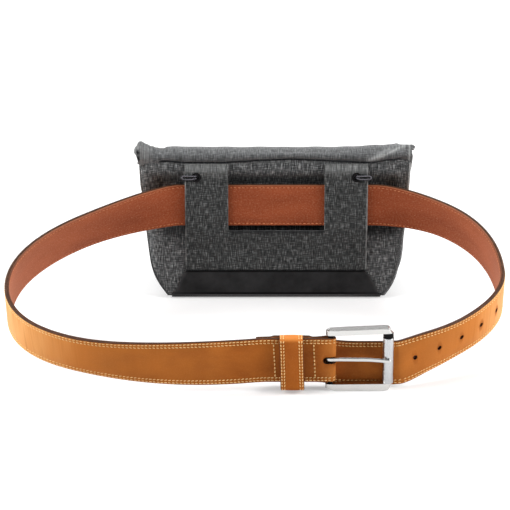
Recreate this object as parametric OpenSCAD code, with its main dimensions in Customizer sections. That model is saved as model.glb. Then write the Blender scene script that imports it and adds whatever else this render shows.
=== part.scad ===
// Roll-top belt pouch threaded on a leather trouser belt, with the belt laid out in a loop.
// The origin is the middle of the pouch's base on the floor. +X runs along the pouch's width,
// +Y towards its front and +Z up. The belt's loop lies on the -Y side, where the wearer stands.

/* [Pouch] */
// Width of the pouch at its base
base_w = 188; // [160:1:220]
// Depth of the pouch at its base, back to front
base_d = 74; // [60:1:90]
// Width of the pouch at its mouth
mouth_w = 240; // [225:1:270]
// Depth of the mouth, back to front
mouth_d = 23; // [16:1:34]
// Height of the mouth above the floor
mouth_z = 128; // [118:1:150]
// Height over which the sides flare out
flare_h = 40; // [25:1:60]
// How far the front bellies out beyond the base
belly = 14; // [4:1:22]
// Thickness of the padded fabric
shell_t = 1.6; // [1:0.1:2.4]
// How far the side gussets fold inward at the mouth
gusset_fold = 14; // [4:1:20]
// Thickness of the inner lining
lining_t = 0.8; // [0.5:0.1:1.2]
// Width of the slip pocket inside the back
pocket_w = 150; // [100:1:160]
// Height of the slip pocket inside the back
pocket_h = 72; // [40:1:90]

/* [Base] */
// Thickness of the coated base
base_t = 2; // [1.2:0.1:3]
// Height to which the coated fabric wraps up the back and the front
base_rise = 26; // [16:1:34]
// Thickness of the coated fabric where it wraps up
wrap_t = 1.6; // [1:0.1:2]
// Thickness of the base stiffener
board_t = 2; // [1:0.1:3]

/* [Flap] */
// Width of the flap
flap_w = 246; // [230:1:275]
// Thickness of the flap
flap_t = 1.8; // [1.4:0.1:2.6]
// How far the flap hangs down the front below the mouth
flap_drop = 58; // [40:1:80]
// How high the roll's curve is lifted above its hinge
roll_rise = 12; // [8:1:18]
// Radius of the flap's lower corners
flap_corner_r = 15; // [6:1:25]

/* [Closure] */
// Width of the hook and loop strips
closure_w = 120; // [60:1:180]
// Height of the hook and loop strips
closure_h = 18; // [12:1:26]
// Thickness of one hook or loop strip
closure_t = 1.1; // [0.8:0.1:1.6]

/* [Belt loops] */
// Width of the belt loop panel
yoke_w = 161; // [140:1:175]
// Width of each belt loop
arm_w = 38; // [28:1:50]
// Thickness of the belt loop fabric
yoke_t = 1.6; // [1:0.1:2.4]
// Free space on each side of the belt inside its loops
loop_clear = 0.5; // [0.4:0.1:0.8]
// Distance from the mouth down to the belt's upper edge
belt_drop = 20.5; // [20:0.5:26]

/* [Anchor cords] */
// Distance of each eyelet from the pouch's middle plane
anchor_x = 70.5; // [66:0.5:73]
// Distance of the eyelets below the mouth
anchor_drop = 12.5; // [12:0.5:14]
// Bore of the eyelets
eyelet_bore = 5.4; // [5:0.1:6]
// Diameter of the anchor cord
cord_d = 2.2; // [1.6:0.1:2.4]
// Reach of the cord's bight from the eyelet
cord_reach = 13.5; // [10:0.5:18]

/* [Belt] */
// Width of the belt
belt_w = 38; // [32:1:42]
// Thickness of the outer leather
leather_t = 2.4; // [1.8:0.1:3]
// Thickness of the belt's lining
belt_lining_t = 1.6; // [1:0.1:2]
// Distance from the run behind the pouch to the run with the buckle
loop_reach = 211; // [200:1:240]
// Furthest reach of the belt to the left of the pouch's middle
left_span = 226.5; // [215:0.5:240]
// Furthest reach of the belt to the right of the pouch's middle
right_span = 190.5; // [185:0.5:205]
// Depth at which the belt is furthest left, from the run behind the pouch
left_bow = 131; // [120:1:140]
// Depth at which the belt is furthest right, from the run behind the pouch
right_bow = 112; // [105:1:125]
// Lean of the belt at the left bend
left_lean = 24; // [0:1:30]
// Lean of the belt at the right bend
right_lean = 20; // [0:1:30]
// Number of punched holes
hole_n = 5; // [3:1:6]
// Diameter of the punched holes
hole_d = 4; // [3:0.1:5]
// Distance between punched holes
hole_pitch = 23.5; // [20:0.5:26]
// Distance from the tip of the tail to the first punched hole
hole_first = 131; // [125:1:140]

/* [Keeper] */
// Width of the keeper loop
keeper_w = 18; // [12:1:20]
// Thickness of the keeper leather
keeper_t = 2; // [1.5:0.1:2.4]
// Free depth in front of the strap, where the tail is tucked
keeper_room = 4.8; // [4.4:0.1:7]
// Distance from the heel bar to the keeper's middle
keeper_back = 32; // [30:0.5:34]

/* [Buckle] */
// Place of the heel bar to the right of the pouch's middle
bar_x = 42.5; // [38:0.1:46]
// Distance from the heel bar to the roller's axis
buckle_len = 47; // [42:0.5:49]
// Height of the buckle's upper and lower legs
leg_h = 6; // [4:0.1:7]
// Depth of the legs, back to front
leg_d = 8; // [6.5:0.1:9]
// Diameter of the heel bar
bar_d = 4; // [3.4:0.1:4.4]
// Diameter of the roller
roller_d = 8.6; // [8:0.1:9.4]
// Diameter of the bar inside the roller
free_bar_d = 5; // [4:0.1:5.4]
// Free height of the roller between the legs
roller_play = 4; // [1:0.1:5]
// Width of the prong
prong_w = 4; // [3:0.1:5]
// Thickness of the prong
prong_t = 2.6; // [2:0.1:3.2]

/* [Hidden] */
$fn = 48;
seam_gap = 0.2;
lining_gap = 0.6;
front_lean = 22;
front_steps = 14;
side_steps = 14;
fold_cols = 8;
roll_steps = 12;
closure_gap = 0.3;
closure_margin = 6;
pocket_corner_r = 6;
hem_r = 1;
hem_gap = 0.3;
roll_pull = 14;
lip_t = 0.6;
lip_w = 1.1;
barrel_t = 0.5;
lip_room = 0.4;
knot_past = 0.7;
strand_room = 0.25;
cord_gap = 0.3;
buckle_room = 2;
fold_gap = 0.15;
tab_gap = 0.05;
keeper_slide = 3.2;
tab_ramp = 4;
keeper_gap = 0.3;
keeper_drop = 3.6;
prong_gap = 0.2;
eye_gap = 0.06;
eye_wall = 1.6;
prong_past = 2.5;
prong_bow = 0.9;
slot_back = 8.2;
slot_room = 1;
tip_cut = 12;
left_run_x = -20;
right_run_x = 98;
tail_x = -18;
tab_x = -13;
stitch_x = 29.4;
front_swing = 0.12;
tail_drop = 3.8;
arm_run = 6.5;
window_room = 4;
loop_straight = 6.5;
left_pull = [0.45, 1, 0.67, 0.07];
right_pull = [0.07, 0.92, 0.56, 0.1];
tab_steps = 36;
fold_steps = 12;
run_steps = 6;
bend_steps = 22;
lean_from = 0.06;
lean_to = 0.56;

// Pouch planes: the back's outer face, the front's outer face at the mouth, and the flap's hinge
back_y = -base_d / 2;
mouth_front_y = back_y + mouth_d;
hinge_y = back_y - hem_r - hem_gap;
hinge_z = mouth_z + hem_r + hem_gap + seam_gap;
flap_gap = 2 * closure_t + closure_gap;
closure_z = mouth_z - flap_drop + closure_h / 2 + closure_margin;
cup_gap = shell_t + seam_gap;
lining_in = shell_t + lining_gap;
board_in = cup_gap + seam_gap;

// Belt loops: the belt's run behind the pouch and the loop panel's bends
belt_t = leather_t + belt_lining_t;
loop_gap = belt_t + 2 * loop_clear;
belt_top = mouth_z - belt_drop;
back_z = belt_top - belt_w / 2;
belt_y = back_y - loop_clear - leather_t / 2;
arm_y = back_y - loop_gap;
window_z = belt_top - belt_w - window_room;
foot_z = window_z - arm_run;
anchor_z = mouth_z - anchor_drop;
bore_r = eyelet_bore / 2;
barrel_r = bore_r + barrel_t;
lip_r = bore_r + lip_w + barrel_t;
arm_high = anchor_z + lip_r + lip_room;
arm_top = min(arm_high + arm_run, mouth_z - seam_gap);

// Belt's front run, tab, tail and buckle
front_y = belt_y - loop_reach;
front_z = belt_w / 2 + buckle_room + leg_h;
tail_z = front_z - tail_drop;
fold_r = bar_d / 2 + fold_gap + leather_t / 2;
tab_sewn = leather_t + belt_lining_t + tab_gap;
tab_bump = tab_sewn + keeper_t + 2 * seam_gap;
bar_y = front_y + fold_r;
tail_y = front_y + max(tab_bump, 2 * fold_r) + leather_t + 2 * seam_gap;
keeper_x = bar_x - keeper_back;
sewn_x = keeper_x - keeper_w / 2 - keeper_slide - tab_ramp;
leg_z = belt_w / 2 + buckle_room;
keeper_in_y = [front_y - leather_t / 2 - keeper_room, front_y + leather_t / 2 + belt_lining_t + seam_gap];
keeper_in_z = [front_z - belt_w / 2 - keeper_drop + keeper_gap, front_z + belt_w / 2 + keeper_gap];

function mix(a, b, t) = a + (b - a) * t;
function unit(v) = v / norm(v);
function reverse(list) = [for (i = [len(list) - 1 : -1 : 0]) list[i]];
function ramp(x, a, b) = let (t = min(max((x - a) / (b - a), 0), 1)) t * t * (3 - 2 * t);
function bezier(p, t) =
  p[0] * pow(1 - t, 3) + p[1] * 3 * t * pow(1 - t, 2) + p[2] * 3 * t * t * (1 - t) + p[3] * pow(t, 3);

// Flat outline lying in Y and Z, drawn out along X
module along_x(w) rotate([90, 0, 90]) linear_extrude(w, center = true) children();

// Flat outline lying in X and Z, drawn out along Y
module along_y(y0, y1) translate([0, y1, 0]) rotate([90, 0, 0]) linear_extrude(y1 - y0) children();

// Rectangle with round corners, from its lower left corner to its upper right one
module round_rect(a, b, r) {
  translate([a[0] + r, a[1]]) square([b[0] - a[0] - 2 * r, b[1] - a[1]]);
  translate([a[0], a[1] + r]) square([b[0] - a[0], b[1] - a[1] - 2 * r]);
  for (x = [a[0] + r, b[0] - r], y = [a[1] + r, b[1] - r]) translate([x, y]) circle(r);
}

// Closed solid through a row of rings, capped at both ends. The first half of each ring runs
// opposite to its second half, so the caps are strips between the two.
module skin(rings, flip = false) {
  n = len(rings[0]);
  last = len(rings) - 1;
  sides = [
    for (j = [0 : last - 1], i = [0 : n - 1])
      let (a = j * n + i, b = j * n + (i + 1) % n, c = a + n, d = b + n)
        each flip ? [[a, c, b], [c, d, b]] : [[a, c, d], [a, d, b]]
  ];
  end = last * n;
  caps = [
    for (i = [0 : n / 2 - 2])
      let (a = i, b = i + 1, c = n - 2 - i, d = n - 1 - i)
        each [[a, b, c], [a, c, d], [end + c, end + b, end + a], [end + d, end + c, end + a]]
  ];
  polyhedron([for (r = rings) each r], concat(sides, caps));
}

// Half width of the pouch at a height: a narrow base that flares quickly, then slowly
function half_w(z) =
  mix(base_w, mouth_w, (1 - exp(-z / flare_h)) / (1 - exp(-mouth_z / flare_h))) / 2;

// The front's profile in Y and Z, moved out along its normal
front_curve = [
  [base_d / 2, base_t],
  [base_d / 2 + belly, mix(base_t, mouth_z, 0.3)],
  [mouth_front_y + front_lean, mix(base_t, mouth_z, 0.74)],
  [mouth_front_y, mouth_z],
];
function front_dir(t) =
  unit(bezier(front_curve, min(t + 0.01, 1)) - bezier(front_curve, max(t - 0.01, 0)));
function front_at(t, out) = bezier(front_curve, t) + out * [front_dir(t)[1], -front_dir(t)[0]];
function front_line(out) = [for (i = [0 : front_steps]) front_at(i / front_steps, out)];
function front_y_at(z, out) = lookup(z, [for (p = front_line(out)) [p[1], p[0]]]);

// Outer face of the right gusset at a depth and height, folded inward towards the mouth
function gusset_x(y, z) =
  let (k = (y - back_y) / (front_y_at(z, 0) - back_y))
    half_w(z) - gusset_fold * ramp(z, base_rise, mouth_z) * 4 * k * (1 - k);

// Outline of the body in X and Z
module body_outline(top) {
  side = [for (i = [0 : side_steps]) let (z = mix(base_t, top, i / side_steps)) [half_w(z), z]];
  polygon(concat(side, [for (p = reverse(side)) [-p[0], p[1]]]));
}

// Outline of the coated fabric that wraps up the back and the front
module wrap_outline() {
  foot = base_w / 2 - base_t;
  head = min(yoke_w / 2, half_w(base_rise));
  polygon([[-foot, 0], [foot, 0], [head, base_rise], [-head, base_rise]]);
}

// Layer that follows the front's profile between two distances from it
module front_layer(inner, outer) along_x(2 * mouth_w)
  polygon(concat(front_line(inner), reverse(front_line(outer))));

module back_panel() color("dimgray") along_y(back_y, back_y + shell_t) body_outline(mouth_z);

module front_panel() color("dimgray") intersection() {
  front_layer(-shell_t, 0);
  along_y(back_y, base_d) body_outline(mouth_z + shell_t);
}

function gusset_ring(z) =
  let (
    y0 = back_y + cup_gap,
    y1 = front_y_at(z, -cup_gap),
    row = [for (i = [0 : fold_cols]) let (y = mix(y0, y1, i / fold_cols)) [gusset_x(y, z), y, z]]
  ) concat(row, [for (p = reverse(row)) [p[0] - shell_t, p[1], z]]);

module right_gusset() color("dimgray")
  skin([
    for (i = [0 : side_steps]) gusset_ring(mix(base_t + 2 * seam_gap, mouth_z - 1, i / side_steps))
  ]);

module left_gusset() mirror([1, 0, 0]) right_gusset();

module base_panel() color("#1b1b1b") {
  translate([0, 0, base_t / 2]) cube([base_w, base_d + 2 * wrap_t, base_t], center = true);
  along_y(back_y - wrap_t, back_y) wrap_outline();
  intersection() {
    front_layer(0, wrap_t);
    along_y(0, base_d) wrap_outline();
  }
}

module base_board() color("#2b2b2b")
  translate([0, 0, base_t + board_t / 2])
    cube([base_w - 2 * board_in, base_d - 2 * board_in, board_t], center = true);

// One level of the lining: back, right side, front and left side
function cup_ring(z, inset) =
  let (
    y0 = back_y + lining_in + inset,
    y1 = front_y_at(z, -lining_in - inset),
    side = [
      for (i = [0 : fold_cols])
        let (y = mix(y0, y1, i / fold_cols)) [gusset_x(y, z) - lining_in - inset, y, z]
    ]
  ) concat(side, [for (p = reverse(side)) [-p[0], p[1], z]]);

module pouch_lining() color("#3a3a3c") {
  low = base_t + board_t + seam_gap;
  high = mouth_z - 2;
  skin(concat(
    [for (i = [0 : side_steps]) cup_ring(mix(low, high, i / side_steps), 0)],
    [for (i = [side_steps : -1 : 0]) cup_ring(mix(low + lining_t, high, i / side_steps), lining_t)]
  ));
}

module slip_pocket() color("#4a4a4d") {
  low = base_t + board_t + seam_gap + lining_t;
  wall = back_y + lining_in + lining_t;
  along_y(wall, wall + lining_t)
    round_rect([-pocket_w / 2, low], [pocket_w / 2, low + pocket_h], pocket_corner_r);
}

module closure_outline() translate([0, closure_z]) square([closure_w, closure_h], center = true);

module front_loop_strip() color("#202022") intersection() {
  front_layer(0, closure_t);
  along_y(back_y, base_d) closure_outline();
}

module flap_hook_strip() color("#161617") intersection() {
  front_layer(closure_t + closure_gap, flap_gap);
  along_y(back_y, base_d) closure_outline();
}

// The flap's inner face, from low on the front, over the roll and back to the hinge
roll_end = [hinge_y + flap_t / 2, hinge_z];
roll_curve = [
  front_at(1, flap_gap),
  front_at(1, flap_gap) + roll_pull * front_dir(1),
  roll_end + [0, roll_rise],
  roll_end,
];
flap_line = concat(
  [for (i = [0 : front_steps - 1]) front_at(i / front_steps, flap_gap)],
  [for (i = [0 : roll_steps]) bezier(roll_curve, i / roll_steps)]
);
flap_outer = [
  for (i = [0 : len(flap_line) - 1])
    let (d = unit(flap_line[min(i + 1, len(flap_line) - 1)] - flap_line[max(i - 1, 0)]))
      flap_line[i] + flap_t * [d[1], -d[0]]
];

module flap() color("dimgray") {
  intersection() {
    along_x(flap_w) polygon(concat(flap_line, reverse(flap_outer)));
    along_y(-base_d, base_d)
      round_rect([-flap_w / 2, mouth_z - flap_drop], [flap_w / 2, 2 * mouth_z], flap_corner_r);
  }
  translate([0, hinge_y, hinge_z]) rotate([0, 90, 0]) cylinder(h = flap_w, r = hem_r, center = true);
}

// Side profile of the belt loop panel: flat on the back, out over the belt and back to the mouth
yoke_line = [
  [back_y, base_rise], [back_y, foot_z], [arm_y, window_z], [arm_y, arm_high], [back_y, arm_top],
];

module belt_loop_panel() color("dimgray") difference() {
  along_x(yoke_w) polygon(concat(yoke_line, [for (p = reverse(yoke_line)) p - [yoke_t, 0]]));
  along_y(-base_d, base_d)
    translate([arm_w - yoke_w / 2, window_z]) square([yoke_w - 2 * arm_w, mouth_z]);
  for (s = [-1, 1])
    translate([s * anchor_x, 0, anchor_z]) rotate([90, 0, 0]) cylinder(h = base_d, r = barrel_r);
}

// Frame of one eyelet: its axis points out of the belt loop, towards the wearer
module at_eyelet(s) translate([s * anchor_x, arm_y, anchor_z]) rotate([90, 0, 0]) children();

module anchor_eyelets() color("#0f0f10") for (s = [-1, 1]) at_eyelet(s) rotate_extrude() polygon([
  [bore_r, -lip_t], [lip_r, -lip_t], [lip_r, 0], [barrel_r, 0], [barrel_r, yoke_t],
  [lip_r, yoke_t], [lip_r, yoke_t + lip_t], [bore_r, yoke_t + lip_t],
]);

// Cord through the eyelet: a knot behind it, a stem in its bore and a flat bight in front
module anchor_cord(s) color("#141416") at_eyelet(s) {
  cord_r = cord_d / 2;
  spread = cord_r + strand_room;
  stem_r = bore_r - cord_gap;
  lift = yoke_t + lip_t + cord_gap + cord_r;
  knot_t = loop_gap - lip_t - 3 * cord_gap;
  run = cord_reach - spread - cord_r;
  translate([0, 0, -lip_t - cord_gap - knot_t]) cylinder(h = knot_t, r = bore_r + knot_past);
  translate([0, 0, -lip_t - cord_gap]) cylinder(h = lip_t + cord_gap + lift, r = stem_r);
  for (side = [-1, 1])
    translate([0, side * spread, lift]) rotate([0, s * 90, 0]) cylinder(h = run, r = cord_r);
  translate([s * run, 0, lift]) rotate([0, 0, s > 0 ? -90 : 90])
    rotate_extrude(angle = 180) translate([spread, 0]) circle(cord_r);
}

module left_anchor_cord() anchor_cord(-1);

module right_anchor_cord() anchor_cord(1);

// Distance of the folded tab behind the front run: sewn flat, over the keeper, then round the bar
function tab_back(x) =
  let (from = keeper_x - keeper_w / 2 - keeper_slide, to = keeper_x + keeper_w / 2 + keeper_slide)
    tab_sewn
    + (tab_bump - tab_sewn) * (ramp(x, from - tab_ramp, from) - ramp(x, to, to + tab_ramp))
    + (2 * fold_r - tab_sewn) * ramp(x, max(stitch_x, to + 1), bar_x);

// Height of the belt's middle at a depth, between the front run and the run behind the pouch
function belt_z(y, start) = mix(start[1], back_z, (y - start[0]) / (belt_y - start[0]));

// How far the front run has swung towards the wearer, left of where the tab is sewn flat
function swing(x) = front_swing * pow(max(sewn_x - x, 0), 2) / (2 * (sewn_x - left_run_x));
function front_run(x, behind) =
  let (y = front_y - swing(x)) [x, y + behind, belt_z(y, front_start), 0];

// One quarter of the loop; its lean grows along it or dies away
function bend(p, start, lean, grows) = [
  for (i = [1 : bend_steps])
    let (t = i / bend_steps, q = bezier(p, t))
      [q[0], q[1], belt_z(q[1], start), lean * ramp(grows ? t : 1 - t, lean_from, lean_to)]
];
function run_to(x0, x1, y, z) = [for (i = [1 : run_steps]) [mix(x0, x1, i / run_steps), y, z, 0]];

loop_x = yoke_w / 2 + loop_straight;
left_mid = [-left_span, belt_y - left_bow];
right_mid = [right_span, belt_y - right_bow];
front_start = [front_y, front_z];
tail_start = [tail_y, tail_z];
left_front = [left_run_x, front_y - swing(left_run_x)];
left_back = [-loop_x, belt_y];
right_back = [loop_x, belt_y];
right_front = [right_run_x, tail_y];
belt_path = concat(
  [
    for (i = [0 : tab_steps - 1])
      let (x = mix(tab_x, bar_x, i / tab_steps)) front_run(x, tab_back(x))
  ],
  [
    for (i = [0 : fold_steps])
      let (a = mix(90, -90, i / fold_steps)) [bar_x + fold_r * cos(a), bar_y + fold_r * sin(a), front_z, 0]
  ],
  [[stitch_x, front_y, front_z, 0]],
  [for (i = [1 : run_steps]) front_run(mix(stitch_x, left_run_x, i / run_steps), 0)],
  bend([
    left_front,
    left_front - left_pull[0] * (left_front - left_mid)[0] * [1, front_swing],
    left_mid - [0, left_pull[1] * (left_mid - left_front)[1]],
    left_mid,
  ], front_start, left_lean, true),
  bend([
    left_mid,
    left_mid + [0, left_pull[2] * (left_back - left_mid)[1]],
    left_back - [left_pull[3] * (left_back - left_mid)[0], 0],
    left_back,
  ], front_start, left_lean, false),
  run_to(-loop_x, loop_x, belt_y, back_z),
  bend([
    right_back,
    right_back + [right_pull[0] * (right_mid - right_back)[0], 0],
    right_mid + [0, right_pull[1] * (right_back - right_mid)[1]],
    right_mid,
  ], tail_start, right_lean, true),
  bend([
    right_mid,
    right_mid - [0, right_pull[2] * (right_mid - right_front)[1]],
    right_front + [right_pull[3] * (right_mid - right_front)[0], 0],
    right_front,
  ], tail_start, right_lean, false),
  run_to(right_run_x, tail_x, tail_y, tail_z)
);
belt_last = len(belt_path) - 1;
lining_first = tab_steps + fold_steps + 1;

// The belt's middle, its width direction and its outward normal at a point of the path
function xyz(p) = [p[0], p[1], p[2]];
function belt_frame(i) =
  let (
    t = unit(xyz(belt_path[min(i + 1, belt_last)]) - xyz(belt_path[max(i - 1, 0)])),
    lean = belt_path[i][3],
    up = [0, -sin(lean), cos(lean)],
    w = unit(up - (up * t) * t)
  ) [xyz(belt_path[i]), w, cross(w, t)];
function belt_ring(i, inner, outer) =
  let (f = belt_frame(i), h = f[1] * belt_w / 2)
    [f[0] + f[2] * inner - h, f[0] + f[2] * outer - h, f[0] + f[2] * outer + h, f[0] + f[2] * inner + h];

// Length along the belt from the tip of its tail, and the frame at such a length
function belt_step(i) = norm(xyz(belt_path[i]) - xyz(belt_path[max(i - 1, 0)]));
belt_run = [
  for (i = belt_last, s = 0; i >= 0; s = s + belt_step(i), i = i - 1) [s, i]
];
function along_belt(s, part) = [
  for (k = [0 : 2]) lookup(s, [for (r = belt_run) [r[0], belt_frame(r[1])[part][k]]])
];

// Everything cut through the belt: its holes, the prong's slot and the corners of its tip
module belt_cuts() {
  cut = 3 * belt_t;
  slot_w = prong_w + 2 * slot_room;
  for (k = [0 : hole_n - 1]) {
    n = along_belt(hole_first + k * hole_pitch, 2);
    translate(along_belt(hole_first + k * hole_pitch, 0))
      rotate([0, acos(n[2] / norm(n)), atan2(n[1], n[0])])
        cylinder(h = cut, d = hole_d, center = true);
  }
  slot_end = tail_y - leather_t / 2 - seam_gap / 2;
  along_y(front_y - leather_t, slot_end) translate([bar_x - slot_back, front_z]) {
    circle(d = slot_w);
    translate([0, -slot_w / 2]) square([slot_back + 3 * fold_r, slot_w]);
  }
  for (side = [-1, 1])
    translate([tail_x, tail_y, tail_z + side * belt_w / 2]) rotate([0, 45, 0])
      cube([tip_cut, cut, tip_cut], center = true);
}

module belt_strap() color("#b3692b") difference() {
  skin([for (i = [0 : belt_last]) belt_ring(i, -leather_t / 2, leather_t / 2)]);
  belt_cuts();
}

module belt_lining() color("#8a4a33") difference() {
  inner = -leather_t / 2 - belt_lining_t;
  skin([for (i = [lining_first : belt_last]) belt_ring(i, inner, -leather_t / 2)], true);
  belt_cuts();
}

module keeper_loop() color("#c47a35") translate([keeper_x, 0, 0]) along_x(keeper_w) difference() {
  round_rect(
    [keeper_in_y[0] - keeper_t, keeper_in_z[0] - keeper_t],
    [keeper_in_y[1] + keeper_t, keeper_in_z[1] + keeper_t],
    keeper_t
  );
  round_rect([keeper_in_y[0], keeper_in_z[0]], [keeper_in_y[1], keeper_in_z[1]], keeper_t / 4);
}

// Frame of the buckle: X along the strap, Y across its thickness and Z along the heel bar
module at_buckle() translate([bar_x, bar_y, front_z]) children();

module buckle_frame() color("silver") at_buckle() {
  for (z = [-leg_z - leg_h, leg_z]) translate([0, 0, z]) linear_extrude(leg_h) difference() {
    union() {
      circle(d = leg_d);
      translate([0, -leg_d / 2]) square([buckle_len, leg_d]);
      translate([buckle_len, 0]) circle(d = leg_d);
    }
    circle(d = bar_d);
  }
  translate([buckle_len, 0, 0]) cylinder(h = 2 * leg_z + leg_h, d = free_bar_d, center = true);
}

module heel_bar() color("lightgray") at_buckle()
  cylinder(h = 2 * (leg_z + leg_h), d = bar_d, center = true);

module roller() color("gainsboro") at_buckle()
  translate([buckle_len, 0, seam_gap - leg_z]) difference() {
    cylinder(h = 2 * leg_z - roller_play, d = roller_d);
    translate([0, 0, -1]) cylinder(h = 2 * leg_z, d = free_bar_d + 2 * eye_gap);
  }

module prong() color("silver") at_buckle() linear_extrude(prong_w, center = true) {
  bore = bar_d / 2 + eye_gap;
  eye = bore + eye_wall;
  rest = -roller_d / 2 - prong_gap;
  tip = buckle_len + prong_past;
  crown = buckle_len * 0.45;
  land = buckle_len * 0.85;
  difference() {
    union() {
      circle(eye);
      polygon([
        [0, -eye], [crown, rest - prong_t - prong_bow], [land, rest - prong_t],
        [tip - prong_t / 3, rest - prong_t * 0.8], [tip, rest - prong_t / 2], [tip - prong_t / 4, rest],
        [land, rest], [crown, rest - prong_bow], [eye, -bore / 2],
      ]);
    }
    circle(bore);
  }
}

back_panel();
front_panel();
left_gusset();
right_gusset();
base_panel();
base_board();
pouch_lining();
slip_pocket();
front_loop_strip();
belt_loop_panel();
anchor_eyelets();
flap();
flap_hook_strip();
left_anchor_cord();
right_anchor_cord();
belt_strap();
belt_lining();
keeper_loop();
buckle_frame();
heel_bar();
roller();
prong();
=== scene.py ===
"""Roll-top belt pouch threaded on a leather belt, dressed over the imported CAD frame.

Sizes are in millimetres in the frame of the CAD model and become metres where a mesh is placed.
The pouch's back faces the camera, as it faces the wearer, and the belt's loop lies in front of it.
"""

from __future__ import annotations

import logging
import math
from contextlib import contextmanager
from dataclasses import dataclass, field
from enum import Enum
from typing import Any, Callable, Iterator, NamedTuple, Optional, Sequence

import bpy
import numpy as np
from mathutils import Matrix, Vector

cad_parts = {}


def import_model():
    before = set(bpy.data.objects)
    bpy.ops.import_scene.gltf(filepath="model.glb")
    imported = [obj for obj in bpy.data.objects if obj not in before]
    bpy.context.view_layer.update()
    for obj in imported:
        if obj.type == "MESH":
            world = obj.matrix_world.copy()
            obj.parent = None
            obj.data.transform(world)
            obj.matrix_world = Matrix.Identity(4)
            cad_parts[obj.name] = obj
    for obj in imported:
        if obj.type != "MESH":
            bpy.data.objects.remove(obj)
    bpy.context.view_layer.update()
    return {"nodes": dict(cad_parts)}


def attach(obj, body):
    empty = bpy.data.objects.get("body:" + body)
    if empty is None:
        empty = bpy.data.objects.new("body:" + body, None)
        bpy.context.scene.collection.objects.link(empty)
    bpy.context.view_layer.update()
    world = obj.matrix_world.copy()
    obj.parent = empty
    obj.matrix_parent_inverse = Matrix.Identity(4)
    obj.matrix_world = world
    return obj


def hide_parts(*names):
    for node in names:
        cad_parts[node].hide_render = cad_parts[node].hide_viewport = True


LOG = logging.getLogger("belt_pouch")
MM = 0.001
WELD_GAP = 1e-6
QUARTER = math.pi / 2
Array = np.ndarray
Colour = tuple[float, float, float, float]
Pair = tuple[float, float]
Triple = tuple[float, float, float]
Piece = bpy.types.Object
Row = tuple[Array, Array]
Material = bpy.types.Material
Socket = bpy.types.NodeSocket


class Body(Enum):
    """Bodies of the CAD model that a piece can ride on."""

    POUCH = "pouch"
    FLAP = "flap"
    LEFT_ANCHOR = "left_anchor"
    RIGHT_ANCHOR = "right_anchor"
    BELT = "belt"
    KEEPER = "keeper"
    BUCKLE = "buckle"
    ROLLER = "roller"
    PRONG = "prong"


class Slot(Enum):
    """Names of material slots, passed along with each new piece."""

    HEATHER = "heather_fabric"
    COATED = "coated_fabric"
    LINING = "lining_fabric"
    TAPE = "closure_tape"
    CORD = "anchor_cord"
    LEATHER = "tan_leather"
    SUEDE = "suede_lining"
    NICKEL = "satin_nickel"


class Side(Enum):
    """Sides of the pouch as the camera sees them."""

    LEFT = -1
    RIGHT = 1


class Zone(Enum):
    """Faces of a strap, by the material slot that each takes."""

    FACE = 0
    EDGE = 1
    FLESH = 2


class Part(Enum):
    """Parts of a mesh that can be selected, by the mesh's own word for them."""

    VERT = "vertices"
    EDGE = "edges"
    FACE = "polygons"


class Patch(NamedTuple):
    """Points of a draped grid, their cloth coordinates and their wear and painted light and shade."""

    xyz: Array
    uv: Array
    worn: Optional[Array] = None


# ---- Curves and numbers ----


def mix(a: Any, b: Any, t: Any) -> Any:
    """Value between a and b at the share t."""
    return a + (b - a) * t


def ease(x: Any, a: Any, b: Any) -> Array:
    """Smooth step from 0 at a to 1 at b."""
    t = np.clip((np.asarray(x, float) - a) / (b - a), 0.0, 1.0)
    return t * t * (3.0 - 2.0 * t)


def bump(x: Any, middle: float, width: float, power: float = 2.0) -> Array:
    """Smooth hump of height 1 round a middle."""
    return np.exp(-np.abs((np.asarray(x, float) - middle) / width) ** power)


def cols(*columns: Array) -> Array:
    """Columns set side by side, one row per point."""
    return np.stack(columns, axis=1)


def bezier(points: Sequence[Any], t: Any) -> Array:
    """Points of a cubic curve.

    Args:
        points: The four control points.
        t: Shares along the curve.

    Returns:
        One row per share.
    """
    p = np.asarray(points, float)
    t = np.asarray(t, float)[:, None]
    return p[0] * (1 - t) ** 3 + p[1] * 3 * t * (1 - t) ** 2 + p[2] * 3 * t * t * (1 - t) + p[3] * t**3


def follow(x: Array, keys: Sequence[Pair]) -> Array:
    """Smooth line through (place, value) keys.

    Args:
        x: Places to read.
        keys: Keys in rising order of place.

    Returns:
        The value at each place.
    """
    places, values = np.array(keys).T
    i = np.clip(np.searchsorted(places, x) - 1, 0, len(keys) - 2)
    return mix(values[i], values[i + 1], ease(x, places[i], places[i + 1]))


def unit(v: Array) -> Array:
    """Rows of v at length 1."""
    return v / np.maximum(np.linalg.norm(v, axis=-1, keepdims=True), 1e-9)


def out_of(direction: Array) -> Array:
    """Normals that point out of a profile, from its directions in Y and Z."""
    return cols(direction[:, 1], -direction[:, 0])


def run_length(points: Array) -> Array:
    """Length along a row of points, from 0 at the first."""
    return np.concatenate([[0.0], np.cumsum(np.linalg.norm(np.diff(points, axis=0), axis=1))])


def respace(points: Array, count: int) -> Array:
    """Even steps along a row of points."""
    length = run_length(points)
    even = np.linspace(0, length[-1], count)
    return np.stack([np.interp(even, length, column) for column in points.T], axis=1)


def soften(values: Array, times: int) -> Array:
    """Even out a row of values between its ends."""
    for _ in range(times):
        values[1:-1] = 0.25 * values[:-2] + 0.5 * values[1:-1] + 0.25 * values[2:]
    return values


def rounded(left: Array, reach: float) -> Array:
    """Share of the full width at distances from a round end, from 0 to 1."""
    t = np.clip(left / reach, 0, 1)
    return np.sqrt(np.clip(1 - (1 - t) ** 2, 0, 1))


def nearest(share: Array, count: int) -> Array:
    """Number of the grid line at each share of a side."""
    return np.rint(share * count).astype(int)


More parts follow.
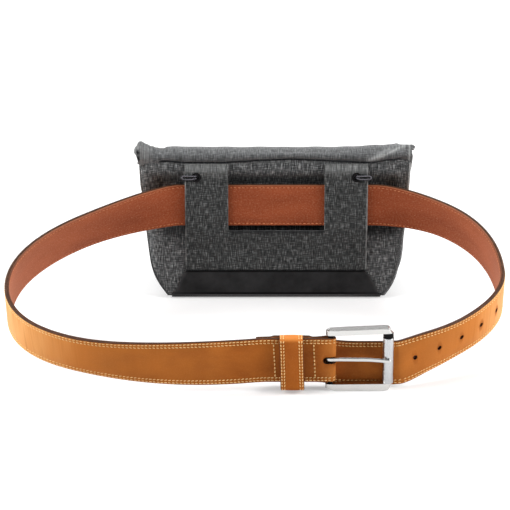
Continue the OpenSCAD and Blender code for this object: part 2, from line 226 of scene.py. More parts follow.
def segments(share: Array, counts: Sequence[int]) -> tuple[Array, Array]:
    """Which stretch of a grid's side a column lies in, and how far along it.

    Args:
        share: Shares along the side, from 0 to 1.
        counts: Number of columns in each stretch.

    Returns:
        The stretch of each column and its share of that stretch.
    """
    ends = np.concatenate([[0], np.cumsum(counts)])
    index = nearest(share, ends[-1])
    part = np.clip(np.searchsorted(ends, index, side="right") - 1, 0, len(counts) - 1)
    return part, (index - ends[part]) / np.asarray(counts)[part]


# ---- Mesh operators ----


def clear_selection() -> None:
    """Leave edit mode and deselect everything."""
    if bpy.context.object and bpy.context.object.mode != "OBJECT":
        bpy.ops.object.mode_set(mode="OBJECT")
    bpy.ops.object.select_all(action="DESELECT")


def activate(obj: Piece) -> None:
    """Select one object alone and make it active."""
    clear_selection()
    obj.select_set(True)
    bpy.context.view_layer.objects.active = obj


def take_new(name: str) -> Piece:
    """Name the primitive that was just added."""
    obj = bpy.context.object
    obj.name = obj.data.name = name
    return obj


def place_at_origin(obj: Piece) -> Piece:
    """Put an object's place, turn and scale into its mesh."""
    activate(obj)
    bpy.ops.object.transform_apply(location=True, rotation=True, scale=True)
    return obj


def round_bar(
    name: str, radius: float, length: float, middle: Sequence[float], sides: int, turn: Any = (0, 0, 0)
) -> Piece:
    """Add a round bar.

    Args:
        name: Name of the piece.
        radius: Its radius in millimetres.
        length: Its length in millimetres.
        middle: Its middle in millimetres.
        sides: Number of its sides.
        turn: Its turn away from upright.

    Returns:
        The bar, with its place still outside its mesh.
    """
    clear_selection()
    bpy.ops.mesh.primitive_cylinder_add(
        vertices=sides, radius=radius * MM, depth=length * MM, location=Vector(middle) * MM, rotation=turn
    )
    return take_new(name)


@contextmanager
def editing(obj: Piece, part: Part = Part.VERT, test: Optional[Callable[[Any], bool]] = None) -> Iterator[None]:
    """Stay in edit mode for a while, with the whole mesh selected or only the parts that pass a test.

    Args:
        obj: Object to edit.
        part: Kind of part that is tested.
        test: Says whether a part is selected.

    Yields:
        Nothing.
    """
    activate(obj)
    bpy.ops.object.mode_set(mode="EDIT")
    bpy.ops.mesh.select_all(action="SELECT")
    if test is not None:
        bpy.ops.mesh.select_mode(type=part.name)
        bpy.ops.mesh.select_all(action="DESELECT")
        bpy.ops.object.mode_set(mode="OBJECT")
        for one in getattr(obj.data, part.value):
            one.select = test(one)
        bpy.ops.object.mode_set(mode="EDIT")
    yield
    bpy.ops.object.mode_set(mode="OBJECT")


def face_outward() -> None:
    """Turn all faces of the mesh in edit mode outward."""
    bpy.ops.mesh.select_all(action="SELECT")
    bpy.ops.mesh.normals_make_consistent(inside=False)


def finish_with(obj: Piece, kind: str, **settings: Any) -> None:
    """Add a modifier and apply it.

    Args:
        obj: Object to change.
        kind: Modifier type.
        **settings: Modifier settings by name.
    """
    activate(obj)
    modifier = obj.modifiers.new(kind.title(), kind)
    for key, value in settings.items():
        setattr(modifier, key, value)
    bpy.ops.object.modifier_apply(modifier=modifier.name)


def thicken(obj: Piece, wall: float, offset: float = 0.0) -> None:
    """Give a sheet a wall: to both sides at offset 0 and inward at -1."""
    finish_with(obj, "SOLIDIFY", thickness=wall * MM, offset=offset)


def round_edges(obj: Piece, width: float, steps: int = 3, degrees: float = 50.0) -> None:
    """Round the edges that are sharper than the angle."""
    limit = math.radians(degrees)
    finish_with(obj, "BEVEL", width=width * MM, segments=steps, limit_method="ANGLE", angle_limit=limit)


def smooth(obj: Piece, degrees: float) -> Piece:
    """Shade an object smooth, apart from edges sharper than the angle."""
    activate(obj)
    bpy.ops.object.shade_smooth_by_angle(angle=math.radians(degrees))
    return obj


def weld(obj: Piece, fill: bool = False) -> None:
    """Merge doubled points, close open ends if asked and turn the faces outward.

    Args:
        obj: Object to weld.
        fill: Whether open ends are filled.
    """
    with editing(obj):
        bpy.ops.mesh.remove_doubles(threshold=WELD_GAP)
        if fill:
            bpy.ops.mesh.fill_holes(sides=0)
        bpy.ops.mesh.normals_make_consistent(inside=False)


def join(target: Piece, *others: Piece) -> Piece:
    """Join objects into the first of them."""
    activate(target)
    for other in others:
        other.select_set(True)
    bpy.ops.object.join()
    return target


def cut(obj: Piece, cutter: Piece) -> None:
    """Cut one object out of another and delete the cutter."""
    finish_with(obj, "BOOLEAN", operation="DIFFERENCE", solver="EXACT", object=cutter)
    bpy.data.objects.remove(cutter, do_unlink=True)


def add_zones(obj: Piece) -> None:
    """Give a strap or its cutter an empty material slot for each zone."""
    for _ in Zone:
        obj.data.materials.append(None)


def paint_wear_and_light(mesh: bpy.types.Mesh, worn: Array) -> None:
    """Keep the wear and painted light and shade of each point with a mesh, for its material to read."""
    mesh.attributes.new("worn", "FLOAT", "POINT").data.foreach_set("value", worn.astype(np.float32))


def drape_grid(
    name: str,
    columns: int,
    rows: int,
    place: Callable[[Array, Array], Patch],
    zone: Optional[Callable[[Array], Array]] = None,
) -> Piece:
    """Add a grid and lay its points over a surface.

    Args:
        name: Name of the piece.
        columns: Faces along the grid's first side.
        rows: Faces along the grid's second side.
        place: Gives the place, cloth coordinates, and wear and painted light of points at two shares.
        zone: Gives the material slot of faces at a share of the first side.

    Returns:
        The new object.
    """

    def shares(items: Any, key: str) -> Array:
        """Places on the flat grid, as shares of its two sides."""
        flat = np.empty(len(items) * 3, np.float32)
        items.foreach_get(key, flat)
        return flat.reshape(-1, 3).astype(float) + 0.5

    clear_selection()
    bpy.ops.mesh.primitive_grid_add(x_subdivisions=columns, y_subdivisions=rows, size=1.0)
    obj = take_new(name)
    mesh = obj.data
    if zone is not None:
        middle = shares(mesh.polygons, "center")
        mesh.polygons.foreach_set("material_index", zone(middle[:, 0]).astype(np.int32))
    point = shares(mesh.vertices, "co")
    patch = place(point[:, 0], point[:, 1])
    mesh.vertices.foreach_set("co", (patch.xyz * MM).astype(np.float32).ravel())
    corner = np.empty(len(mesh.loops), np.int32)
    mesh.loops.foreach_get("vertex_index", corner)
    mesh.uv_layers.active.data.foreach_set("uv", (patch.uv[corner] * MM).astype(np.float32).ravel())
    if patch.worn is not None:
        paint_wear_and_light(mesh, patch.worn)
    mesh.update()
    return obj


def make_cloth(obj: Piece, wall: float, shade: float, edge: Optional[tuple[float, int, float]] = None) -> Piece:
    """Give a draped sheet its thickness, its edges and its shading.

    Args:
        obj: The sheet.
        wall: Its thickness.
        shade: Angle in degrees past which its faces meet in a sharp line.
        edge: Width, steps and angle of its rounded edges, where it has them.

    Returns:
        The finished piece.
    """
    thicken(obj, wall)
    if edge is not None:
        round_edges(obj, *edge)
    weld(obj)
    return smooth(obj, shade)


@dataclass
class Frames:
    """Row of frames along a strap or cord: middle, direction, width and outward normal."""

    middle: Array
    across: Array
    outward: Array
    closed: bool = False

    def __post_init__(self) -> None:
        """Work out the length along the row and the direction at each frame."""
        points = np.vstack([self.middle, self.middle[:1]]) if self.closed else self.middle
        self.length = run_length(points)
        self.along = unit(np.cross(self.across, self.outward)) * -1.0
        step = np.gradient(self.middle, axis=0)
        self.along *= np.sign(np.sum(self.along * step, axis=1, keepdims=True))

    def at(self, places: Array) -> tuple[Array, Array, Array, Array]:
        """Frames at lengths along the row.

        Args:
            places: Lengths in millimetres.

        Returns:
            Middles, directions, width directions and outward normals.
        """
        length = self.length[: len(self.middle)]
        read = [
            np.stack([np.interp(places, length, column) for column in part.T], axis=1)
            for part in (self.middle, self.along, self.across, self.outward)
        ]
        return read[0], unit(read[1]), unit(read[2]), unit(read[3])


def tube_frames(points: Array, normal: Sequence[float]) -> Frames:
    """Frames along a smooth cord, carried on from a first normal.

    Args:
        points: Points that the cord follows.
        normal: Normal at the first point.

    Returns:
        The frames.
    """
    along = unit(np.gradient(points, axis=0))
    outward = np.empty_like(along)
    last = np.asarray(normal, float)
    for i, t in enumerate(along):
        last = last - t * np.dot(last, t)
        last = last / np.linalg.norm(last)
        outward[i] = last
    return Frames(points, np.cross(outward, along), outward)


def sweep(
    name: str,
    frames: Frames,
    section: Array,
    zones: Optional[Array] = None,
    widths: Optional[Array] = None,
    depths: Optional[Array] = None,
    wear: Optional[Array] = None,
) -> Piece:
    """Sweep a closed section along a row of frames.

    Args:
        name: Name of the piece.
        frames: Frames to follow.
        section: Ring of (across, outward) points.
        zones: Material slot of each side of the ring.
        widths: Share of the section's width at each frame.
        depths: Share of the section's depth at each frame.
        wear: Wear and painted light at each frame.

    Returns:
        The new closed piece, with cloth coordinates along it and round it.
    """
    sides, rings = len(section), len(frames.middle)
    rows = rings if frames.closed else rings - 1
    loop = np.vstack([section, section[:1]])
    girth = run_length(loop)
    slots = np.zeros(sides) if zones is None else zones
    wide = np.ones(rings) if widths is None else widths
    deep = np.ones(rings) if depths is None else depths

    def place(u: Array, v: Array) -> Patch:
        """Points round and along the sweep."""
        i, k = nearest(u, sides), nearest(v, rows)
        j = k % rings
        across = (loop[i, 0] * wide[j])[:, None]
        outward = (loop[i, 1] * deep[j])[:, None]
        xyz = frames.middle[j] + frames.across[j] * across + frames.outward[j] * outward
        worn = None if wear is None else wear[j]
        return Patch(xyz, cols(frames.length[k], girth[i] - girth[-1] / 2), worn)

    obj = drape_grid(name, sides, rows, place, lambda u: slots[np.floor(u * sides).astype(int)])
    weld(obj, fill=not frames.closed)
    return obj


def round_section(radius: float, sides: int, power: float = 1.0) -> Array:
    """Round section of a cord, or a squarer one at a power below 1."""
    turn = np.linspace(0, 2 * np.pi, sides, endpoint=False)
    ring = cols(np.cos(turn), np.sin(turn))
    return radius * (np.sign(ring) * np.abs(ring) ** power)


# ---- Finishes ----


def tint(red: int, green: int, blue: int) -> Colour:
    """Colour of a shader socket from the values of a colour chart."""
    level = [c / 255 for c in (red, green, blue)]
    return (*[c / 12.92 if c <= 0.04045 else ((c + 0.055) / 1.055) ** 2.4 for c in level], 1.0)


class Nodes:
    """Node tree whose nodes are added and linked a step at a time."""

    def __init__(self, tree: bpy.types.NodeTree) -> None:
        """Work on one tree."""
        self.tree = tree

    def feed(self, socket: Socket, value: Any) -> None:
        """Link a socket, or set its value."""
        if isinstance(value, Socket):
            self.tree.links.new(value, socket)
        else:
            socket.default_value = value

    def add(self, kind: str, inputs: dict[Any, Any], out: Any = 0, **settings: Any) -> Socket:
        """Add a node.

        Args:
            kind: Node type, without the word that all shader nodes start with.
            inputs: Values or links by input name or number.
            out: Output name or number.
            **settings: Node settings by name.

        Returns:
            The chosen output socket.
        """
        node = self.tree.nodes.new(f"ShaderNode{kind}")
        for key, value in settings.items():
            setattr(node, key, value)
        for key, value in inputs.items():
            self.feed(node.inputs[key], value)
        return node.outputs[out]

    def calc(self, work: str, a: Any, b: Any, clamp: bool = False) -> Socket:
        """Arithmetic on two values."""
        return self.add("Math", {0: a, 1: b}, operation=work, use_clamp=clamp)

    def times(self, a: Any, b: Any, clamp: bool = False) -> Socket:
        """Product of two values."""
        return self.calc("MULTIPLY", a, b, clamp)

    def span(self, value: Any, low: float, high: float, to_low: float = 0.0, to_high: float = 1.0) -> Socket:
        """Value moved from one range to another and kept inside it."""
        inputs = {"Value": value, "From Min": low, "From Max": high, "To Min": to_low, "To Max": to_high}
        return self.add("MapRange", inputs)


class Graph(Nodes):
    """Material of a piece, with its patterns and its one surface shader."""

    def __init__(self, name: str) -> None:
        """Start a material under a name."""
        self.material = bpy.data.materials.new(name)
        self.material.use_nodes = True
        super().__init__(self.material.node_tree)
        self.shader = self.tree.nodes["Principled BSDF"]

    def cloth(self, scale: Triple = (1, 1, 1), shift: Triple = (0, 0, 0), turn: float = 0.0) -> Socket:
        """Coordinates that follow the cloth or strap, stretched and shifted."""
        inputs = {"Vector": self.add("TexCoord", {}, "UV"), "Scale": scale, "Location": shift}
        return self.add("Mapping", {**inputs, "Rotation": (0, 0, math.radians(turn))})

    def space(self, scale: Triple = (1, 1, 1)) -> Socket:
        """Coordinates that lie still in the part's own frame, stretched."""
        return self.add("Mapping", {"Vector": self.add("TexCoord", {}, "Object"), "Scale": scale})

    def noise(self, vector: Any, scale: float, detail: float = 2.0, rough: float = 0.5, warp: float = 0.0) -> Socket:
        """Cloudy noise."""
        inputs = {"Vector": vector, "Scale": scale, "Detail": detail, "Roughness": rough, "Distortion": warp}
        return self.add("TexNoise", inputs)

    def streaks(self, scale: Triple, shift: Triple = (0, 0, 0), *settings: float) -> Socket:
        """Noise that is stretched along the cloth or strap, with the settings of `noise` past its scale."""
        return self.noise(self.cloth(scale, shift), 1.0, *settings)

    def cells(self, scale: float) -> Socket:
        """Pebbled cells on the cloth or strap."""
        return self.add("TexVoronoi", {"Vector": self.cloth(), "Scale": scale})

    def waves(self, scale: float, axis: str = "X", turn: float = 0.0) -> Socket:
        """Even waves along one axis of the cloth."""
        return self.add("TexWave", {"Vector": self.cloth(turn=turn), "Scale": scale}, "Fac", bands_direction=axis)

    def blend(self, share: Any, low: Any, high: Any) -> Socket:
        """Colour between two colours."""
        return self.add("Mix", {0: share, 6: low, 7: high}, 2, data_type="RGBA")

    def worn(self) -> Socket:
        """Wear and painted light on the piece: above 0 it is paler, from wear and painted highlight, and below 0
        darker, from painted shade.
        """
        return self.add("Attribute", {}, "Fac", attribute_name="worn")

    def layers(self, colour: Any, *over: tuple[Any, Any]) -> Any:
        """Colour with others laid over it, each at its share."""
        for share, top in over:
            colour = self.blend(share, colour, top)
        return colour

    def painted_shade(self, dark: Colour) -> tuple[Socket, Colour]:
        """Layer of painted shade, which darkens where the attribute is below 0."""
        return self.times(self.worn(), -1.0, clamp=True), dark

    def relief(self, height: Any, depth: float, strength: float) -> Socket:
        """Bumped normal, with the depth in millimetres."""
        return self.add("Bump", {"Height": height, "Distance": depth * MM, "Strength": strength})

    def dress(self, **sockets: Any) -> None:
        """Set the surface shader's sockets, named with underscores."""
        for key, value in sockets.items():
            self.feed(self.shader.inputs[key.replace("_", " ")], value)


FINISHED: dict[str, Material] = {}


@dataclass(frozen=True)
class Finish:
    """Finish of a piece; each kind paints a material of its own."""

    name: str

    def paint(self, g: Graph) -> None:
        """Add the nodes that give the material its look."""

    def material(self) -> Material:
        """Material of the finish, built once."""
        if self.name not in FINISHED:
            g = Graph(self.name)
            self.paint(g)
            FINISHED[self.name] = g.material
        return FINISHED[self.name]


class Strand(NamedTuple):
    """One kind of strand in a cloth: how its noise is stretched and shifted, and its share of the weave."""

    scale: Triple
    shift: Triple
    share: float
    detail: float = 1.0
    rough: float = 0.5


@dataclass(frozen=True)
class HeatherCloth(Finish):
    """Charcoal cloth of mixed yarns, with painted highlight where the attribute is above 0 and painted shade where it
    is below 0.
    """

    name: str = "heather_cloth"
    dark: Colour = tint(44, 46, 47)
    middle: Colour = tint(89, 91, 92)
    pale: Colour = tint(173, 175, 175)
    # edge: painted highlight along turned edges, hems and folds.
    edge: Colour = tint(180, 182, 181)
    painted_shade: Colour = tint(11, 14, 17)
    warp: Strand = Strand((1220, 150, 1), (0, 0, 0), 0.52)
    weft: Strand = Strand((170, 1180, 1), (3, 7, 0), 0.38)
    fleck: Strand = Strand((1900, 900, 1), (11, 5, 0), 0.06)
    cloud: Strand = Strand((60, 60, 1), (1, 4, 0), 0.04, 3.0, 0.6)
    weave: float = 260.0

    def paint(self, g: Graph) -> None:
        """Mix the yarns and lay the painted highlight and the painted shade over them."""
        strands = (self.warp, self.weft, self.fleck, self.cloud)
        noises = [g.streaks(s.scale, s.shift, s.detail, s.rough) for s in strands]
        parts = [g.times(noise, s.share) for noise, s in zip(noises, strands)]
        yarn = parts[0]
        for part in parts[1:]:
            yarn = g.calc("ADD", yarn, part)
        # Painted highlight where the attribute is above 0, broken up by the warp; painted shade where it is below 0.
        wear = g.times(g.worn(), g.span(noises[0], 0.3, 0.6, 0.45, 1.0), clamp=True)
        yarns = (g.span(yarn, 0.37, 0.52), self.middle), (g.span(yarn, 0.52, 0.68), self.pale)
        colour = g.layers(self.dark, *yarns, (wear, self.edge), g.painted_shade(self.painted_shade))
        weave = g.times(g.waves(self.weave, "X"), g.waves(self.weave, "Y"))
        height = g.calc("ADD", g.times(weave, 0.35), yarn)
        g.dress(
            Base_Color=colour,
            Roughness=g.span(yarn, 0.35, 0.65, 0.95, 0.82),
            Normal=g.relief(height, 0.3, 0.6),
            Specular_IOR_Level=0.08,
            Sheen_Weight=0.22,
            Sheen_Roughness=0.5,
        )


@dataclass(frozen=True)
class CoatedCloth(Finish):
    """Matt black coated fabric with a fine pebble."""

    name: str = "coated_cloth"
    base: Colour = tint(36, 36, 37)
    # scuff: pale cloud and paler edges of the coating, and painted light of the floor's bounce on the base's lower
    # strip.
    scuff: Colour = tint(102, 103, 104)
    # crease: painted shade along the base's top seam and where it turns under.
    crease: Colour = tint(6, 6, 7)

    def paint(self, g: Graph) -> None:
        """Cloud the black, then lay its paler edges, the painted light and the painted shade over it."""
        cloud = g.noise(g.cloth(), 40.0, 4.0, 0.6)
        scuffs = g.span(g.noise(g.cloth(), 700.0), 0.3, 0.7, 0.5, 0.65)
        clouds = (g.span(cloud, 0.35, 0.68, 0.0, 0.17), self.scuff)
        wear = (g.times(g.worn(), scuffs, clamp=True), self.scuff)
        g.dress(
            Base_Color=g.layers(self.base, clouds, wear, g.painted_shade(self.crease)),
            Roughness=g.span(cloud, 0.3, 0.7, 0.6, 0.75),
            Normal=g.relief(g.cells(1500.0), 0.12, 0.5),
            Specular_IOR_Level=0.05,
        )


@dataclass(frozen=True)
class TanLeather(Finish):
    """Oiled pull-up leather, which turns paler where it bends, with a painted sheen there too, and darker with painted
    shade where the attribute is below 0.
    """

    name: str = "tan_leather"
    deep: Colour = tint(150, 78, 25)
    base: Colour = tint(188, 106, 40)
    pale: Colour = tint(236, 174, 108)
    # dark: painted shade, laid where the attribute is below 0.
    dark: Colour = tint(88, 46, 16)
    warm: Colour = tint(215, 133, 61)

    def paint(self, g: Graph) -> None:
        """Cloud the tan, pull it paler in bands and streaks, partly as a painted sheen, lay the painted shade, and add
        its grain and pores.
        """
        cloud = g.streaks((26, 40, 1), (0, 0, 0), 4.0, 0.55, 0.3)
        band = g.streaks((75, 9, 1), (2, 9, 0), 3.0, 0.55)
        grain = g.noise(g.cloth(), 800.0, 4.0, 0.6)
        streak = g.streaks((430, 16, 1), (5, 2, 0))
        # Paler where the attribute is above 0: pull-up leather at the bends, and a painted sheen.
        pull = g.times(g.worn(), g.span(band, 0.3, 0.65, 0.78, 1.0), clamp=True)
        colour = g.layers(
            self.deep,
            (g.span(cloud, 0.3, 0.66), self.base),
            (g.span(pull, 0.0, 0.5), self.warm),
            (g.span(pull, 0.4, 1.0), self.pale),
            (g.times(pull, g.span(streak, 0.5, 0.72, 0.0, 0.6)), self.base),
            g.painted_shade(self.dark),
            (g.span(grain, 0.5, 0.8, 0.0, 0.12), self.pale),
        )
        g.dress(
            Base_Color=colour,
            Roughness=g.span(cloud, 0.3, 0.7, 0.5, 0.66),
            Normal=g.relief(g.calc("ADD", g.times(g.cells(1300.0), 0.4), grain), 0.14, 0.55),
            Specular_IOR_Level=0.1,
        )


@dataclass(frozen=True)
class EdgePaint(Finish):
    """Dark burnished paint on a strap's cut edge."""

    name: str = "edge_paint"
    base: Colour = tint(70, 46, 34)
    rub: Colour = tint(112, 80, 58)
    faded: Colour = tint(150, 90, 62)
    fade: float = 0.0

    def paint(self, g: Graph) -> None:
        """Rub the paint, and fade it where the strap is far away."""
        rub = g.streaks((160, 900, 1), (0, 0, 0), 4.0, 0.6)
        fade = (g.times(g.worn(), self.fade, clamp=True), self.faded)
        colour = g.layers(self.base, (g.span(rub, 0.5, 0.75), self.rub), fade)
        g.dress(Base_Color=colour, Roughness=0.5, Normal=g.relief(rub, 0.15, 0.5), Specular_IOR_Level=0.12)


@dataclass(frozen=True)
class SuedeLining(Finish):
    """Rust-brown suede with a worn nap, painted lighter along the belt's loop than behind the pouch."""

    name: str = "suede_lining"
    deep: Colour = tint(132, 62, 36)
    base: Colour = tint(162, 82, 50)
    rub: Colour = tint(212, 146, 114)
    painted_light_y: Pair = (-0.042, -0.16)

    def paint(self, g: Graph) -> None:
        """Cloud the suede, rub its nap and paint light along the loop."""
        nap = g.noise(g.cloth(), 650.0, 4.0, 0.65)
        cloud = g.streaks((14, 45, 1), (0, 0, 0), 4.0, 0.6)
        fleck = g.streaks((500, 900, 1), (4, 1, 0), 2.0, 0.6)
        # Painted light: paler towards the front of the belt's loop, by depth.
        depth = g.add("SeparateXYZ", {0: g.space()}, "Y")
        rubs_and_light = (nap, 0.45, 0.8, 0.0, 0.3), (fleck, 0.62, 0.74, 0.0, 0.55), (depth, *self.painted_light_y, 0.0, 0.3)
        colour = g.blend(g.span(cloud, 0.3, 0.7), self.deep, self.base)
        g.dress(
            Base_Color=g.layers(colour, *[(g.span(*rub), self.rub) for rub in rubs_and_light]),
            Roughness=0.92,
            Normal=g.relief(nap, 0.25, 0.6),
            Specular_IOR_Level=0.06,
            Sheen_Weight=0.08,
            Sheen_Roughness=0.45,
        )


@dataclass(frozen=True)
class WaxedThread(Finish):
    """Twisted thread of a stitch."""

    base: Colour
    shade: Colour

    def paint(self, g: Graph) -> None:
        """Twist two shades of thread."""
        ply = g.noise(g.space((2600, 2600, 2600)), 1.0)
        colour = g.blend(g.span(ply, 0.35, 0.65), self.shade, self.base)
        g.dress(Base_Color=colour, Roughness=0.6, Normal=g.relief(ply, 0.1, 0.5), Specular_IOR_Level=0.3)


@dataclass(frozen=True)
class SatinNickel(Finish):
    """Satin metal with a fine brush along it."""

    name: str = "satin_nickel"
    base: Colour = tint(200, 199, 197)
    low: float = 0.14
    high: float = 0.22
    brush: Triple = (60.0, 1500.0, 1500.0)

    def paint(self, g: Graph) -> None:
        """Brush the metal and cloud its gloss."""
        brush = g.noise(g.space(self.brush), 1.0, 3.0, 0.6)
        cloud = g.noise(g.space((90, 90, 90)), 1.0, 3.0, 0.6)
        rough = g.calc("ADD", g.span(brush, 0.3, 0.7, self.low, self.high), g.span(cloud, 0.4, 0.7, 0.0, 0.06))
        g.dress(Base_Color=self.base, Metallic=1.0, Roughness=rough, Normal=g.relief(brush, 0.02, 0.4))


@dataclass(frozen=True)
class BlackLacquer(Finish):
    """Black lacquer on the eyelets."""

    name: str = "black_lacquer"
    base: Colour = tint(10, 10, 11)
    pale: Colour = tint(20, 20, 21)

    def paint(self, g: Graph) -> None:
        """Fleck the lacquer."""
        fleck = g.noise(g.space(), 900.0, 3.0)
        g.dress(
            Base_Color=g.blend(g.span(fleck, 0.4, 0.7), self.base, self.pale),
            Roughness=g.span(fleck, 0.3, 0.7, 0.3, 0.45),
            Normal=g.relief(fleck, 0.03, 0.4),
            Specular_IOR_Level=0.1,
        )


@dataclass(frozen=True)
class BraidedCord(Finish):
    """Black braided cord, with a painted highlight on its strands."""

    name: str = "braided_cord"
    base: Colour = tint(30, 30, 34)
    # pale: painted highlight on the crests of the braid.
    pale: Colour = tint(132, 130, 138)
    lay: float = 40.0

    def paint(self, g: Graph) -> None:
        """Cross two sets of strands."""
        braid = g.calc("MAXIMUM", g.waves(420.0, turn=self.lay), g.waves(420.0, turn=-self.lay))
        colour = g.blend(g.span(braid, 0.55, 1.0), self.base, self.pale)
        g.dress(Base_Color=colour, Roughness=0.5, Normal=g.relief(braid, 0.2, 0.8), Specular_IOR_Level=0.3)


@dataclass(frozen=True)
class LiningCloth(Finish):
    """Light grey lining with a ripstop grid."""

    name: str = "lining_cloth"
    base: Colour = tint(92, 93, 97)
    line: Colour = tint(120, 121, 125)
    pitch: float = 32.0

    def paint(self, g: Graph) -> None:
        """Draw the grid's lines over the yarn."""
        grid = g.calc("MAXIMUM", g.waves(self.pitch, "X"), g.waves(self.pitch, "Y"))
        yarn = g.streaks((1800, 1800, 1))
        colour = g.blend(g.span(grid, 0.93, 0.99), self.base, self.line)
        height = g.calc("ADD", g.span(grid, 0.9, 1.0), g.times(yarn, 0.6))
        g.dress(Base_Color=colour, Roughness=0.78, Normal=g.relief(height, 0.12, 0.6), Sheen_Weight=0.1)


@dataclass(frozen=True)
class ClosureTape(Finish):
    """Black hook or loop tape."""

    base: Colour
    pale: Colour
    pile: float

    def paint(self, g: Graph) -> None:
        """Raise the tape's tufts."""
        tuft = g.cells(self.pile)
        colour = g.blend(g.span(tuft, 0.1, 0.6), self.pale, self.base)
        g.dress(Base_Color=colour, Roughness=0.85, Normal=g.relief(tuft, 0.5, 0.9), Sheen_Weight=0.1)


@dataclass(frozen=True)
class PressedBoard(Finish):
    """Grey pressed board of the stiffener."""

    name: str = "pressed_board"
    base: Colour = tint(58, 58, 60)
    pale: Colour = tint(84, 84, 86)

    def paint(self, g: Graph) -> None:
        """Press fibres of two greys."""
        fibre = g.noise(g.space((600, 600, 600)), 1.0, 4.0, 0.65)
        colour = g.blend(g.span(fibre, 0.35, 0.7), self.base, self.pale)
        g.dress(Base_Color=colour, Roughness=0.85, Normal=g.relief(fibre, 0.1, 0.5))


CREAM = WaxedThread("cream_thread", tint(255, 226, 160), tint(232, 178, 106))
TAN = WaxedThread("tan_thread", tint(220, 146, 98), tint(176, 100, 62))
FLESH = SuedeLining("strap_flesh", tint(150, 88, 48), tint(178, 112, 66), tint(206, 150, 104))


# ---- Sub-assemblies ----


@dataclass
class Assembly:
    """Group of pieces that belong together; each kind builds its meshes and dresses them."""

    pieces: dict[str, Piece] = field(default_factory=dict, init=False)

    def keep(self, *pieces: Piece) -> None:
        """Remember pieces under their own names."""
        self.pieces.update({piece.name: piece for piece in pieces})

    def build(self) -> None:
        """Build the meshes."""

    def dress(self) -> None:
        """Give each piece its finish and its body."""

    def wear(self, name: str, body: Body, slot: Slot, finishes: Sequence[Finish], *stands_for: str) -> None:
        """Give a piece its finishes and its body.

        Args:
            name: Name of the piece.
            body: Body that it rides on.
            slot: Not used.
            finishes: Finishes, in the order of the piece's material slots.
            *stands_for: CAD nodes that it replaces.
        """
        obj = self.pieces[name]
        slots = obj.data.materials
        for k, finish in enumerate(finishes):
            if k < len(slots):
                slots[k] = finish.material()
            else:
                slots.append(finish.material())
        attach(obj, body.value)
        if stands_for:
            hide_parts(*stands_for)


def dress_node(frame: dict[str, Any], node: str, finish: Finish) -> None:
    """Give a CAD node that stays in sight its finish.

    Args:
        frame: The loaded frame.
        node: Name of the node.
        finish: Its finish.
    """
    slots = frame["nodes"][node].data.materials
    slots.clear()
    slots.append(finish.material())


@dataclass(frozen=True)
class Stitch:
    """One kind of stitch: spacing, length and thickness of its thread."""

    pitch: float = 3.1
    length: float = 2.5
    thick: float = 0.95
    flat: float = 0.8

    def seed(self) -> Piece:
        """One stitch along X, to be copied."""
        clear_selection()
        bpy.ops.mesh.primitive_uv_sphere_add(segments=6, ring_count=4, radius=0.5 * MM, rotation=(0, QUARTER, 0))
        obj = place_at_origin(take_new("stitch_seed"))
        with editing(obj):
            bpy.ops.transform.resize(value=(self.length, self.thick, self.thick * self.flat))
        return obj

    def along(self, frames: Frames, start: float, end: float, across: float, lift: float, slant: float) -> Row:
        """A row of stitches along a strap.

        Args:
            frames: The strap's frames.
            start: Length at which the row starts.
            end: Length at which it ends.
            across: Distance from the strap's middle line.
            lift: Height over the strap's middle layer.
            slant: Turn of each stitch in degrees.

        Returns:
            Middles of the stitches and their axes.
        """
        count = max(int((end - start) / self.pitch), 1)
        places = start + (end - start) * (np.arange(count) + 0.5) / count
        middle, along, wide, outward = frames.at(places)
        axis = along * math.cos(math.radians(slant)) + wide * math.sin(math.radians(slant))
        return middle + wide * across + outward * lift, cols(axis, np.cross(outward, axis), outward)

    def pairs(self, frames: Frames, start: float, end: float, rows: Sequence[Pair], lift: float) -> list[Row]:
        """Rows along both sides of a strap, each given by its distance from the middle line and its slant."""
        return [
            self.along(frames, start, end, side * row, lift, side * slant) for side in (1, -1) for row, slant in rows
        ]

    def crossing(self, frames: Frames, at: float, half: float, lift: float) -> Row:
        """A row of stitches a little askew across a strap, as `along` gives one along it."""
        count = max(int(2 * half / self.pitch), 1)
        off = half * (2 * (np.arange(count) + 0.5) / count - 1)
        middle, along, wide, outward = frames.at(at + 0.05 * off)
        return middle + wide * off[:, None] + outward * lift, cols(wide, -along, outward)

    def sew(self, name: str, rows: Sequence[Row]) -> Piece:
        """Copy the stitch along rows, as one piece.

        Args:
            name: Name of the piece.
            rows: Middles and axes of each row's stitches.

        Returns:
            The piece.
        """
        seed = self.seed()
        points = np.array([v.co for v in seed.data.vertices])
        faces = [tuple(f.vertices) for f in seed.data.polygons]
        middle = np.vstack([r[0] for r in rows]) * MM
        axes = np.concatenate([r[1] for r in rows])
        spread = middle[:, None, :] + np.einsum("kj,nji->nki", points, axes)
        mesh = bpy.data.meshes.new(name)
        copies = [tuple(i + n * len(points) for i in f) for n in range(len(middle)) for f in faces]
        mesh.from_pydata(spread.reshape(-1, 3).tolist(), [], copies)
        obj = bpy.data.objects.new(name, mesh)
        bpy.context.scene.collection.objects.link(obj)
        bpy.data.objects.remove(seed, do_unlink=True)
        weld(obj)
        return smooth(obj, 80)


